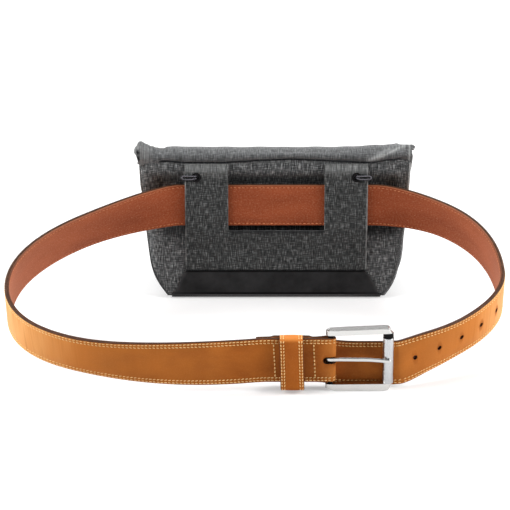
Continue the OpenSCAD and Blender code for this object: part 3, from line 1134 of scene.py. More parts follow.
def strap_section(half: float, top: float, low: float, rows: Sequence[Pair], crown: float) -> tuple[Array, Array]:
    """Ring of points round a stitched strap, from the middle of its inner face.

    Args:
        half: Half the strap's width.
        top: Height of its outer face.
        low: Height of its inner face.
        rows: Stitch rows, widest first; each starts with its distance from the middle line.
        crown: Rise of the outer face's middle.

    Returns:
        The ring and the zone of each of its sides.
    """
    ring = [(0.0, low), (half * 0.55, low), (half - 0.5, low), (half, low + 0.5)]
    ring += [(half, top - 0.7), (half - 0.5, top - 0.12)]
    zones = [Zone.FLESH, Zone.FLESH, Zone.EDGE, Zone.EDGE, Zone.EDGE]
    for row, _ in rows:
        ring += [(row + 0.9, top), (row, top - 0.3), (row - 0.9, top - 0.02)]
    ring += [(half * 0.4, top + crown * 0.7)]
    zones += [Zone.FACE] * (len(ring) - len(zones))
    ring = ring + [(0.0, top + crown)] + [(-w, h) for w, h in reversed(ring[1:])]
    return np.array(ring), np.array([z.value for z in zones + zones[::-1]])


@dataclass
class BeltPath:
    """Route of the belt: tab, fold round the heel bar, loop through the pouch and tucked tail."""

    front_y: float = -249.7
    front_z: float = 27.0
    tail_y: float = -240.2
    tail_z: float = 23.2
    back_y: float = -38.7
    back_z: float = 88.5
    bar_x: float = 42.5
    fold_r: float = 3.35
    tab_x: float = -17.5
    tail_x: float = -18.0
    droop: float = 2.6
    droop_x: float = 75.0
    droop_w: float = 34.0
    stitch_x: float = 29.4
    swing: float = 0.12
    keeper_x: float = 10.5
    keeper_reach: float = 13.7
    tab_sewn: float = 4.05
    tab_bump: float = 6.45
    tab_ramp: float = 4.0
    left_run_x: float = -20.0
    right_run_x: float = 98.0
    loop_x: float = 87.0
    left_mid: Pair = (-226.5, -169.7)
    right_mid: Pair = (190.5, -150.7)
    left_pulls: tuple[float, ...] = (0.45, 1.0, 0.67, 0.07)
    right_pulls: tuple[float, ...] = (0.07, 0.92, 0.56, 0.1)
    left_lean: float = 24.0
    right_lean: float = 20.0
    lean_span: Pair = (0.06, 0.56)
    sharp_turn: float = 0.014
    turn_spread: int = 60
    tab_steps: int = 60
    fold_steps: int = 26
    run_steps: int = 26
    bend_steps: int = 64

    def __post_init__(self) -> None:
        """Work out the frames and the landmarks along them."""
        tab_x = np.linspace(self.tab_x, self.bar_x, self.tab_steps, endpoint=False)
        turn = np.radians(np.linspace(90, -90, self.fold_steps + 1))
        bar_y = self.front_y + self.fold_r
        run_x = self.steps(self.bar_x, self.left_run_x)
        front, tail = (self.front_y, self.front_z), (self.tail_y, self.tail_z)
        left_front, right_front = (self.left_run_x, self.run_y(self.left_run_x)), (self.right_run_x, self.tail_y)
        left_back, right_back = (-self.loop_x, self.back_y), (self.loop_x, self.back_y)
        (lx, ly), (rx, ry) = self.left_mid, self.right_mid
        a, b, c, d = self.left_pulls
        leave = (mix(left_front[0], lx, a), left_front[1] - a * (left_front[0] - lx) * self.swing)
        left_in = [left_front, leave, (lx, ly - b * (ly - left_front[1])), self.left_mid]
        reach = (left_back[0] - d * (left_back[0] - lx), left_back[1])
        left_out = [self.left_mid, (lx, ly + c * (left_back[1] - ly)), reach, left_back]
        a, b, c, d = self.right_pulls
        leave = (right_back[0] + a * (rx - right_back[0]), right_back[1])
        right_in = [right_back, leave, (rx, ry + b * (right_back[1] - ry)), self.right_mid]
        reach = (right_front[0] + d * (rx - right_front[0]), right_front[1])
        right_out = [self.right_mid, (rx, ry - c * (ry - right_front[1])), reach, right_front]
        line = np.vstack([
            self.flat(tab_x, self.run_y(tab_x) + self.tab_back(tab_x), self.rise(self.run_y(tab_x), front)),
            self.flat(self.bar_x + self.fold_r * np.cos(turn), bar_y + self.fold_r * np.sin(turn), self.front_z),
            self.flat(run_x, self.run_y(run_x), self.rise(self.run_y(run_x), front)),
            self.bend(left_in, front, self.left_lean, True),
            self.bend(left_out, front, self.left_lean, False),
            self.flat(self.steps(-self.loop_x, self.loop_x), self.back_y, self.back_z),
            self.bend(right_in, tail, self.right_lean, True),
            self.bend(right_out, tail, self.right_lean, False),
            self.flat(self.steps(self.right_run_x, self.tail_x), self.tail_y, self.tail_z),
        ])
        late = np.arange(len(line)) > len(line) - self.run_steps - self.bend_steps // 2
        line[:, 2] -= self.droop * bump(line[:, 0], self.droop_x, self.droop_w, 4.0) * late
        middle = line[:, :3]
        along = unit(np.gradient(middle, axis=0))
        lean = np.radians(line[:, 3])
        up = cols(np.zeros_like(lean), -np.sin(lean), np.cos(lean))
        across = unit(up - along * np.sum(up * along, axis=1, keepdims=True))
        self.frames = Frames(middle, across, np.cross(across, along))
        fold_end = float(self.frames.length[self.tab_steps + self.fold_steps])
        self.lining_at = fold_end + self.bar_x - self.stitch_x
        self.total = float(self.frames.length[-1])

    def steps(self, start: float, end: float) -> Array:
        """Places along a straight run, without its first one."""
        return np.linspace(start, end, self.run_steps + 1)[1:]

    def tab_back(self, x: Array) -> Array:
        """Distance of the folded tab behind the front run."""
        low, high = self.keeper_x - self.keeper_reach, self.keeper_x + self.keeper_reach
        hump = ease(x, low - self.tab_ramp, low) - ease(x, high, high + self.tab_ramp)
        fold = (2 * self.fold_r - self.tab_sewn) * ease(x, self.stitch_x, self.bar_x)
        return self.tab_sewn + (self.tab_bump - self.tab_sewn) * hump + fold

    def run_y(self, x: Any) -> Any:
        """Depth of the front run, which swings out left of where the tab is sewn flat."""
        sewn = self.keeper_x - self.keeper_reach - self.tab_ramp
        return self.front_y - self.swing * np.maximum(sewn - x, 0) ** 2 / (2 * (sewn - self.left_run_x))

    def rise(self, y: Array, start: Pair) -> Array:
        """Height of the belt at a depth, from a starting depth and height to the run behind the pouch."""
        return mix(start[1], self.back_z, (y - start[0]) / (self.back_y - start[0]))

    def bent(self) -> Array:
        """How sharply the belt bends at each frame, from 0 to 1."""
        length = self.frames.length
        turn = np.linalg.norm(np.gradient(self.frames.along, axis=0), axis=1) / np.maximum(np.gradient(length), 0.05)
        even = np.arange(0.0, length[-1], 2.0)
        level = np.interp(even, length, np.clip(turn / self.sharp_turn, 0, 1))
        return np.interp(length, even, soften(level, self.turn_spread))

    def flat(self, x: Array, y: Any, z: Any) -> Array:
        """Upright points: rows of X, Y, Z and a lean of 0."""
        return np.column_stack([np.broadcast_to(value, len(x)) for value in (x, y, z, 0.0)])

    def bend(self, points: Sequence[Any], start: Pair, lean: float, grows: bool) -> Array:
        """One quarter of the loop, without its first point.

        Args:
            points: The four control points.
            start: Depth and height at which the belt starts to rise.
            lean: Greatest lean in degrees.
            grows: Whether the lean grows along the bend.

        Returns:
            Rows of X, Y, Z and lean.
        """
        t = np.linspace(0, 1, self.bend_steps + 1)[1:]
        xy = bezier(points, t)
        leans = lean * ease(t if grows else 1 - t, *self.lean_span)
        return np.column_stack([xy, self.rise(xy[:, 1], start), leans])

    def part(self, start: float, end: float) -> Frames:
        """Frames between two lengths, with exact ends."""
        length = self.frames.length
        inside = length[(length > start + 0.2) & (length < end - 0.2)]
        middle, _, across, outward = self.frames.at(np.concatenate([[start], inside, [end]]))
        return Frames(middle, across, outward)


@dataclass
class LeatherBelt(Assembly):
    """Belt strap with its lining, holes, prong slot and stitching."""

    path: BeltPath
    width: float = 38.0
    leather_t: float = 2.4
    lining_t: float = 1.6
    lining_in: float = 0.35
    rows: tuple[Pair, ...] = ((17.4, -8.0), (15.1, 14.0))
    lining_rows: tuple[Pair, ...] = ((16.6, 0.0),)
    hole_d: float = 4.0
    lining_hole_d: float = 2.0
    hole_first: float = 131.0
    hole_pitch: float = 23.5
    hole_n: int = 5
    cutter_l: float = 12.0
    slot_x: float = 39.4
    slot_w: float = 6.0
    slot_gap: float = 1.45
    tip_l: float = 9.0
    tip_cut: float = 0.45
    end_gap: float = 32.4
    end_half: float = 14.6
    calm: float = 0.36
    calm_runs: tuple[Triple, ...] = ((84.0, 23.0, 6.0), (122.0, 22.0, 4.0))
    front_limit: float = -244.0
    far_span: Pair = (90.0, 190.0)
    stitch: Stitch = Stitch()
    lining_stitch: Stitch = Stitch(3.6, 2.6, 0.75)
    end_stitch: Stitch = Stitch(3.2, 2.3, 1.25)

    def tip(self, frames: Frames) -> Array:
        """Share of the full width at each frame, narrowing at the tail's tip."""
        left = frames.length[-1] - frames.length[: len(frames.middle)]
        return 1 - self.tip_cut * (1 - rounded(left, self.tip_l))

    def pull(self) -> Array:
        """Paleness at each frame: pull-up and painted sheen where it bends, less on the calm runs; painted shade on the
        front run.
        """
        frames = self.path.frames
        pull = self.path.bent()
        for middle, width, power in self.calm_runs:
            pull = pull - self.calm * bump(self.path.total - frames.length, middle, width, power)
        x = frames.middle[:, 0]
        front = frames.middle[:, 1] < self.front_limit
        # Painted shade on the front run left of the keeper, less past it.
        return pull - 0.4 * front * ease(x, -60, 5) * (1 - 0.4 * ease(x, 12, 24))

    def cutters(self, hole_d: float) -> list[Piece]:
        """Solids that cut the holes, of one diameter, and the prong's slot."""
        path = self.path
        made = []
        places = path.total - self.hole_first - self.hole_pitch * np.arange(self.hole_n)
        middle, _, _, outward = path.frames.at(places)
        for k in range(self.hole_n):
            turn = Vector(outward[k]).to_track_quat("Z", "Y").to_euler()
            made.append(round_bar(f"hole_cutter_{k}", hole_d / 2, self.cutter_l, middle[k], 28, turn))
        start = path.front_y - self.leather_t
        depth = path.tail_y - self.slot_gap - start
        middle = (self.slot_x, start + depth / 2, path.front_z)
        slot = place_at_origin(round_bar("slot_cutter", self.slot_w / 2, depth, middle, 24, (QUARTER, 0, 0)))
        nose = path.bar_x + 3 * path.fold_r
        with editing(slot, Part.VERT, lambda v: v.co.x > (self.slot_x + 0.05) * MM):
            bpy.ops.transform.translate(value=((nose - self.slot_x - self.slot_w / 2) * MM, 0, 0))
        return made + [slot]

    def punch(self, obj: Piece, hole_d: float) -> None:
        """Cut the holes and the slot out of a layer."""
        add_zones(obj)
        for cutter in self.cutters(hole_d):
            cutter.data.polygons.foreach_set("material_index", [Zone.EDGE.value] * len(cutter.data.polygons))
            add_zones(cutter)
            cut(obj, cutter)

    def build(self) -> None:
        """Build the strap, the lining and their stitching."""
        path, frames = self.path, self.path.frames
        half, top, lining = self.width / 2, self.leather_t / 2, self.lining_t / 2
        ring, zones = strap_section(half, top, -top, self.rows, 0.12)
        strap = sweep("belt_leather", frames, ring, zones, self.tip(frames), wear=self.pull())
        lined = path.part(path.lining_at, path.total)
        ring, zones = strap_section(half - self.lining_in, lining, -lining, self.lining_rows, 0.05)
        ring[:, 1] = -ring[:, 1] - top - lining
        far = 1 - ease(-lined.middle[:, 1], *self.far_span)
        suede = sweep("belt_suede", lined, ring, zones, self.tip(lined), wear=far)
        for layer, hole_d in ((strap, self.hole_d), (suede, self.lining_hole_d)):
            self.punch(layer, hole_d)
            self.keep(smooth(layer, 35))
        end, lift, under = path.total - 6.0, top - 0.1, -top - self.lining_t + 0.05
        sewn = self.stitch.pairs(frames, 3.0, end, self.rows, lift)
        self.keep(self.stitch.sew("belt_stitches", sewn))
        ends = path.lining_at + np.array([0.0, self.end_gap])
        sewn = [self.end_stitch.crossing(frames, at, self.end_half, lift + 0.2) for at in ends]
        self.keep(self.end_stitch.sew("end_stitches", sewn))
        sewn = self.lining_stitch.pairs(frames, path.lining_at + 2, end, self.lining_rows, under)
        self.keep(self.lining_stitch.sew("lining_stitches", sewn))

    def dress(self) -> None:
        """Give the belt its finishes."""
        suede = SuedeLining()
        rim = EdgePaint("lining_edge", tint(84, 52, 38), tint(120, 80, 60), fade=1.0)
        belt, leather = Body.BELT, Slot.LEATHER
        self.wear("belt_leather", belt, leather, [TanLeather(), EdgePaint(), FLESH], "belt_strap")
        self.wear("belt_suede", belt, Slot.SUEDE, [suede, rim, suede], "belt_lining")
        self.wear("belt_stitches", belt, leather, [CREAM])
        self.wear("end_stitches", belt, leather, [CREAM])
        self.wear("lining_stitches", belt, Slot.SUEDE, [TAN])


@dataclass
class KeeperLoop(Assembly):
    """Leather keeper that slides on the strap."""

    middle_x: float = 11.1
    middle_z: float = 25.5
    width: float = 19.4
    thick: float = 2.0
    inner_y: Pair = (-255.7, -246.7)
    inner_z: Pair = (4.7, 46.3)
    corner: float = 2.6
    rows: tuple[Pair, ...] = ((8.4, -8.0), (6.3, 14.0))
    lean: float = 0.03
    swell: float = 0.5
    stitch: Stitch = Stitch(2.7, 2.2, 0.95)

    def ring(self) -> Frames:
        """Frames round the keeper's middle layer."""
        half = self.thick / 2
        y0, y1 = self.inner_y[0] - half, self.inner_y[1] + half
        z0, z1 = self.inner_z[0] - half, self.inner_z[1] + half
        points, normals = [], []
        corners = [(y1, z1, 0), (y0, z1, 90), (y0, z0, 180), (y1, z0, 270)]
        for k, (y, z, start) in enumerate(corners):
            sy, sz = np.sign(y - (y0 + y1) / 2), np.sign(z - (z0 + z1) / 2)
            for a in np.radians(np.linspace(start, start + 90, 9)):
                normal = np.array([0, math.cos(a), math.sin(a)])
                points.append(np.array([0, y - sy * self.corner, z - sz * self.corner]) + self.corner * normal)
                normals.append(normal)
            ny, nz, _ = corners[(k + 1) % 4]
            last = points[-1]
            goal = last.copy()
            if abs(ny - y) > 0.1:
                goal[1] = ny - np.sign(ny - y) * self.corner
            else:
                goal[2] = nz - np.sign(nz - z) * self.corner
            for t in np.linspace(0, 1, 12)[1:-1]:
                points.append(mix(last, goal, t))
                normals.append(normals[-1])
        points, normals = np.array(points), np.array(normals)
        points[:, 1] -= self.swell * bump(points[:, 2], self.middle_z, 15.0, 4.0) * (points[:, 1] < y0 + 1.2)
        points[:, 0] += self.middle_x - self.lean * (points[:, 2] - self.middle_z)
        return Frames(points, np.tile([1.0, 0, 0], (len(points), 1)), normals, closed=True)

    def build(self) -> None:
        """Build the band and its stitching."""
        frames, half = self.ring(), self.thick / 2
        ring, zones = strap_section(self.width / 2, half, -half, self.rows, 0.15)
        # Painted highlight on the faces that look up.
        pull = 0.42 * ease(frames.outward[:, 2], 0.1, 0.9)
        self.keep(smooth(sweep("keeper_band", frames, ring, zones, wear=pull), 35))
        end = float(frames.length[len(frames.middle) - 1])
        self.keep(self.stitch.sew("keeper_stitches", self.stitch.pairs(frames, 1.0, end, self.rows, half - 0.05)))

    def dress(self) -> None:
        """Give the keeper its finishes."""
        leather = TanLeather("keeper_leather", tint(164, 86, 28), tint(196, 110, 40), tint(246, 178, 104))
        self.wear("keeper_band", Body.KEEPER, Slot.LEATHER, [leather, EdgePaint(), FLESH], "keeper_loop")
        self.wear("keeper_stitches", Body.KEEPER, Slot.LEATHER, [CREAM])


@dataclass(frozen=True)
class LegForm:
    """How one leg of the buckle departs from a plain bar, with heights towards its outer face."""

    up: int
    heel_to: float
    tilt: float
    edge: float
    toe_drop: float
    heel_drop: float = 0.0
    slope: float = 0.0
    nose_drop: float = 0.0
    under_rise: float = 0.0
    under_nose: float = 0.0


@dataclass
class RollerBuckle(Assembly):
    """Buckle frame with its heel bar, roller and prong."""

    bar_x: float = 42.5
    bar_y: float = -246.35
    middle_z: float = 27.0
    length: float = 47.0
    leg_h: float = 6.0
    leg_d: float = 8.0
    leg_z: float = 21.0
    leg_cuts: int = 14
    bar_d: float = 4.0
    free_bar_d: float = 3.4
    roller_d: float = 9.1
    roller_wall: float = 0.9
    roller_z: Pair = (6.2, 45.6)
    prong_w: float = 3.2
    prong_t: float = 2.4
    prong_arch: float = 1.9
    eye_r: float = 2.9
    eye_wire: float = 0.76
    upper: LegForm = LegForm(1, 12.0, 0.045, 1.9, 3.0, 0.0, 0.075, 1.1, 1.0, 0.9)
    lower: LegForm = LegForm(-1, 5.0, 0.012, 1.3, 3.8, 2.2)

    def leg(self, name: str, form: LegForm) -> Piece:
        """One leg: a bar that is round at both ends and thinner at its heel.

        Args:
            name: Name of the piece.
            form: What sets it apart from the other leg.

        Returns:
            The leg.
        """
        clear_selection()
        up, reach = form.up, self.length + self.leg_d
        middle = Vector((self.bar_x + self.length / 2, self.bar_y, self.middle_z + up * (self.leg_z + self.leg_h / 2)))
        size = (reach * MM, self.leg_d * MM, self.leg_h * MM)
        bpy.ops.mesh.primitive_cube_add(size=1.0, location=middle * MM, scale=size)
        obj = place_at_origin(take_new(name))
        points = obj.data.vertices
        with editing(obj, Part.EDGE, lambda e: abs(points[e.vertices[0]].co.z - points[e.vertices[1]].co.z) > 1e-4):
            bpy.ops.mesh.bevel(offset=self.leg_d * 0.44 * MM, segments=7, affect="EDGES")
            for k in range(1, self.leg_cuts):
                x = (self.bar_x - self.leg_d / 2 + reach * k / self.leg_cuts) * MM
                bpy.ops.mesh.select_all(action="SELECT")
                bpy.ops.mesh.bisect(plane_co=(x, 0, 0), plane_no=(1, 0, 0))
        for v in obj.data.vertices:
            x, z = v.co.x / MM - self.bar_x, (v.co.z / MM - self.middle_z) * up
            heel = 1 - float(ease(x, -4.0, form.heel_to))
            toe = float(np.clip((x - self.length + 2.0) / 6.0, 0, 1)) ** 2
            tilt = form.tilt * (x - self.length / 2)
            nose = float(np.clip((-0.8 - x) / 3.2, 0, 1)) ** 2
            if z > self.leg_z + self.leg_h / 2:
                z -= form.slope * (self.bar_y + self.leg_d / 2 - v.co.y / MM) + form.nose_drop * nose
                z -= form.heel_drop * heel + form.toe_drop * toe
                x -= 2.2 * toe
            else:
                z += form.under_rise + form.under_nose * nose
            v.co.x = (self.bar_x + x) * MM
            v.co.z = (self.middle_z + up * z + tilt) * MM
            v.co.y = (self.bar_y + (v.co.y / MM - self.bar_y) * (1 - 0.16 * heel)) * MM
        round_edges(obj, form.edge, 5)
        return obj

    def post(self, name: str, x: float, radius: float, low: float, high: float) -> Piece:
        """Upright bar with eased ends."""
        obj = place_at_origin(round_bar(name, radius, high - low, (x, self.bar_y, (low + high) / 2), 40))
        round_edges(obj, 0.4)
        return obj

    def sleeve(self) -> Piece:
        """Roller: a rolled sheet with its seam at the back."""
        low, high = self.roller_z
        seam_x, seam_y = self.bar_x + self.length, self.bar_y + self.roller_d / 2
        clear_selection()
        bpy.ops.mesh.primitive_circle_add(
            vertices=72, radius=(self.roller_d / 2) * MM, rotation=(0, 0, math.radians(-87.5)),
            location=Vector((seam_x, self.bar_y, low)) * MM,
        )
        obj = place_at_origin(take_new("roller_sleeve"))
        with editing(obj):
            bpy.ops.mesh.extrude_region_move(TRANSFORM_OT_translate={"value": (0, 0, (high - low) * MM)})

        def at_seam(face: bpy.types.MeshPolygon) -> bool:
            """Whether a face lies where the sheet's edges meet."""
            middle = face.center / MM
            return middle.y > seam_y - 0.06 and abs(middle.x - seam_x) < 0.1

        with editing(obj, Part.FACE, at_seam):
            bpy.ops.mesh.delete(type="FACE")
            face_outward()
        thicken(obj, self.roller_wall, -1.0)
        round_edges(obj, 0.35)
        return obj

    def tongue(self) -> Piece:
        """Prong: an eye round the heel bar and a bowed, tapering shank."""
        rest = -self.roller_d / 2 - 0.2 - self.prong_t / 2
        keys = [(-3.5, -0.6), (-2.9, -2.0), (-1.2, -3.0), (1.5, -3.5), (5.0, -4.1), (12.0, -5.6)]
        keys += [(self.length * 0.45, rest - 0.9), (self.length * 0.85, rest)]
        keys += [(self.length, rest - 0.05), (self.length + 2.3, rest + 0.5)]
        key_x, key_y = np.array(keys).T
        x = np.linspace(key_x[0], key_x[-1], 90)
        y = soften(np.interp(x, key_x, key_y), 12)
        arch = self.prong_arch * np.sin(np.pi * np.clip((x + 3.0) / (self.length + 3.0), 0, 1))
        points = cols(x + self.bar_x, y + self.bar_y, self.middle_z + arch)
        across = np.tile([0, 0, 1.0], (len(x), 1))
        frames = Frames(points, across, np.cross(across, unit(np.gradient(points, axis=0))))
        section = round_section(1.0, 24, 0.62) * [self.prong_w / 2, self.prong_t / 2]
        tip = 0.25 + 0.75 * rounded(x[-1] - x, 2.2)
        shank = sweep("prong_tongue", frames, section, widths=tip, depths=tip)
        clear_selection()
        middle = Vector((self.bar_x, self.bar_y, self.middle_z)) * MM
        bpy.ops.mesh.primitive_torus_add(
            major_segments=40, minor_segments=14, major_radius=self.eye_r * MM, minor_radius=self.eye_wire * MM,
            location=middle,
        )
        eye = place_at_origin(take_new("prong_eye"))
        with editing(eye):
            bpy.ops.transform.resize(value=(1, 1, self.prong_w / 1.56), center_override=middle)
        return join(shank, eye)

    def build(self) -> None:
        """Build the frame, heel bar, roller and prong."""
        legs = join(self.leg("buckle_legs", self.upper), self.leg("lower_leg", self.lower))
        low, high, free_x = self.middle_z - self.leg_z, self.middle_z + self.leg_z, self.bar_x + self.length
        free = self.post("free_bar", free_x, self.free_bar_d / 2, low - 1.5, high + 1.5)
        # The collar at the roller's top end takes the free bar's near-black metal: painted shade for the roller's dark
        # open end.
        collar_r, collar_z = self.roller_d / 2 - 0.3, self.roller_z[1] + 0.1
        free = join(free, self.post("free_collar", free_x, collar_r, collar_z, high + 2.2))
        heel = self.post("heel_post", self.bar_x, self.bar_d / 2, low - 2.5, high + 2.5)
        for piece in (legs, free, heel, self.sleeve(), self.tongue()):
            self.keep(smooth(piece, 35))

    def dress(self) -> None:
        """Give the buckle its finishes."""
        polished = SatinNickel("polished_nickel", tint(192, 192, 191), 0.12, 0.2)
        # Near-black metal on the free bar, its collar and the heel post: painted shade for the roller's open end and
        # the gap by the heel.
        dark = SatinNickel("dark_nickel", tint(26, 26, 27), 0.4, 0.55)
        turned = SatinNickel("turned_nickel", tint(184, 185, 187), 0.2, 0.3, (1500.0, 1500.0, 60.0))
        self.wear("buckle_legs", Body.BUCKLE, Slot.NICKEL, [SatinNickel()], "buckle_frame")
        self.wear("free_bar", Body.BUCKLE, Slot.NICKEL, [dark])
        self.wear("heel_post", Body.BUCKLE, Slot.NICKEL, [dark], "heel_bar")
        self.wear("roller_sleeve", Body.ROLLER, Slot.NICKEL, [turned], "roller")
        self.wear("prong_tongue", Body.PRONG, Slot.NICKEL, [polished], "prong")


@dataclass
class PouchShape:
    """Outer form of the pouch, shared by its panels, lining, tapes and flap."""

    base_w: float = 188.0
    base_d: float = 74.0
    mouth_w: float = 240.0
    mouth_d: float = 23.0
    mouth_z: float = 128.0
    flare_h: float = 40.0
    belly: float = 14.0
    front_lean: float = 22.0
    base_t: float = 2.0
    base_rise: float = 26.0
    fold: float = 14.0
    sag: float = 3.0
    sag_z: float = 24.0
    sag_h: float = 20.0
    seam_in: float = 2.4
    left_in: float = 1.8
    turn: float = 5.0
    turn_w: float = 10.0
    swell: float = 2.2
    pillow: float = 2.0
    slack: float = 0.5
    hollow: float = 9.5
    hollow_z: float = 88.5
    hollow_h: float = 25.5
    # Band of painted shade on the back, in the hollow behind the belt.
    belt_shade_z: float = 85.5
    belt_shade_h: float = 28.0
    hinge_y: float = -38.3
    hinge_z: float = 129.5
    tape_w: float = 120.0
    tape_h: float = 18.0
    tape_t: float = 1.1
    tape_z: float = 85.0
    tape_rows: int = 12
    crease_keys: tuple[Pair, ...] = (
        (-124.0, 2.5), (-98.0, 0.7), (-77.0, -1.0), (-50.0, -1.0), (-30.0, 0.3), (-14.0, 1.4), (14.0, 2.4),
        (35.0, 1.6), (55.0, 0.6), (78.0, -0.5), (88.0, -0.3), (98.0, 1.6), (124.0, 4.6),
    )

    @property
    def back(self) -> float:
        """Depth of the back's outer face."""
        return -self.base_d / 2

    def half(self, z: Array, left: Any = False) -> Array:
        """Half the width at a height; the left side is drawn in a little more."""
        rise = (1 - np.exp(-z / self.flare_h)) / (1 - math.exp(-self.mouth_z / self.flare_h))
        drawn = self.left_in * (ease(z, 50, 95) - 1.4 * ease(z, 84, 106)) * left
        return mix(self.base_w, self.mouth_w, rise) / 2 + self.sag * bump(z, self.sag_z, self.sag_h) - drawn

    def seam(self, z: Array) -> Array:
        """How far the right back seam is drawn in at a height."""
        return self.seam_in * ease(z, 6, 30)

    def turned(self, z: Array) -> Array:
        """How far the back's left edge turns in at a height."""
        return self.turn * ease(z, 12, 40)

    def back_top(self, t: Array) -> Array:
        """Height of the back's upper edge, which follows the crease under the roll."""
        crease = self.hinge_z + follow((2 * t - 1) * self.mouth_w / 2, self.crease_keys)
        return mix(self.mouth_z, crease - 2.7, 1 - ease(np.abs(2 * t - 1), 0.9, 1.0))

    def front_curve(self) -> list[Pair]:
        """Control points of the front's profile in Y and Z."""
        mouth_y = self.back + self.mouth_d
        return [
            (self.base_d / 2, self.base_t),
            (self.base_d / 2 + self.belly, mix(self.base_t, self.mouth_z, 0.3)),
            (mouth_y + self.front_lean, mix(self.base_t, self.mouth_z, 0.74)),
            (mouth_y, self.mouth_z),
        ]

    def front_dir(self, t: Array) -> Array:
        """Direction of the front's profile."""
        p = self.front_curve()
        return unit(bezier(p, np.minimum(t + 0.01, 1)) - bezier(p, np.maximum(t - 0.01, 0)))

    def front_at(self, t: Array, out: float) -> Array:
        """Points of the front's profile, moved out along its normal."""
        return bezier(self.front_curve(), t) + out_of(self.front_dir(t)) * out

    def front_y(self, z: Array) -> Array:
        """Depth of the front at a height."""
        line = self.front_at(np.linspace(0, 1, 80), 0.0)
        return np.interp(z, line[:, 1], line[:, 0])

    def back_y(self, x: Array, z: Array) -> Array:
        """Depth of the back at a place: drawn in where the belt crosses it."""
        edge = np.clip(np.abs(x) / self.half(z), 0, 1)
        press = bump(z, self.hollow_z, self.hollow_h, 7.0) * (1 - 0.9 * ease(edge, 0.84, 1.0))
        slack = self.slack * np.sin(x * 0.043 + 0.6) * np.sin(z * 0.071 + 1.1) * ease(z, 20, 40)
        return self.back + self.hollow * press + slack * (1 - ease(edge, 0.9, 1.0))

    def ring(self, u: Array, v: Array, low: float, drop: float, counts: Sequence[int], inset: float) -> Patch:
        """Points of the shell: back, right side, front and left side.

        Args:
            u: Shares round the shell.
            v: Shares of its height.
            low: Height at which it starts.
            drop: Distance below the mouth at which it ends.
            counts: Columns in the back, right side, front and left side.
            inset: Distance inside the outer face.

        Returns:
            The points, their cloth coordinates, and their wear and painted light and shade.
        """
        part, t = segments(u, counts)
        on_back, on_right, on_front, on_left = (part == k for k in range(4))
        z = mix(low, np.where(on_back, self.back_top(t), self.mouth_z) - drop, v)
        half = self.half(z, on_left | (on_back & (t < 0.5)) | (on_front & (t > 0.5)))
        seam, turn = self.seam(z), self.turned(z)
        q = 2 * t - 1
        back_x = np.where(q > 0, half - seam, half) * q
        back_y = self.back_y(back_x, z) + inset + turn * np.clip(1 - (half + back_x) / self.turn_w, 0, 1) ** 2
        corner_y = self.back_y(half, z) + inset + np.where(on_left, turn, 0.0)
        front = self.front_y(z) - inset
        k = np.where(on_right, t, 1 - t)
        tuck = self.fold * ease(z, self.base_rise, self.mouth_z) * 4 * k * (1 - k)
        swell = self.swell * np.sin(np.pi * np.clip((z - 6) / 80, 0, 1)) * np.sin(np.pi * k)
        side_x = half - inset - tuck + swell * (inset == 0) - np.where(on_right, seam, 0.0) * (1 - ease(k, 0, 0.16))
        side_y = mix(corner_y, front, k)
        front_x = half * (1 - 2 * t)
        pillow = self.pillow * (np.abs(q) ** 6) * ease(z, 10, 60)
        x = np.select([on_back, on_right, on_front], [back_x, side_x, front_x], -side_x)
        y = np.select([on_back, on_front], [back_y, front - pillow], side_y)
        run = np.select([on_back, on_right, on_front], [back_x, side_y + 400, front_x + 800], 1200 - side_y)
        # Painted shade in the hollow behind the belt, fading near the side edges.
        rub = np.where(z < 87, 0.7, 0.3) * bump(z, self.belt_shade_z, self.belt_shade_h, 9.0)
        rub = rub * np.where(q > 0, 1 - ease(q, 0.92, 0.99), 1 - ease(-q, 0.84, 0.94))
        # Painted shade just above the seam with the coated base.
        sewn = 0.9 * (1 - ease(z, self.base_rise + 0.8, self.base_rise + 2.4)) * (np.abs(back_x) < 80)
        # The front is paler along its side edges.
        worn = np.select([on_back, on_front], [-np.maximum(rub, sewn), 0.6 * ease(np.abs(q), 0.985, 1.0)], 0.0)
        return Patch(cols(x, y, z), cols(run, z), worn)

    def tape(self, name: str, inner: float) -> Piece:
        """Strip of closure tape that follows the front.

        Args:
            name: Name of the piece.
            inner: Distance of its inner face from the front.

        Returns:
            The strip.
        """
        line = self.front_at(np.linspace(0, 1, 400), inner + self.tape_t / 2)
        line = respace(line[np.abs(line[:, 1] - self.tape_z) < self.tape_h / 2], self.tape_rows + 1)

        def place(u: Array, v: Array) -> Patch:
            """Points across and up the strip."""
            y, z = line[nearest(v, self.tape_rows)].T
            x = self.tape_w * (u - 0.5)
            return Patch(cols(x, y, z), cols(x, z))

        return make_cloth(drape_grid(name, 48, self.tape_rows, place), self.tape_t, 50, (0.3, 2, 60))


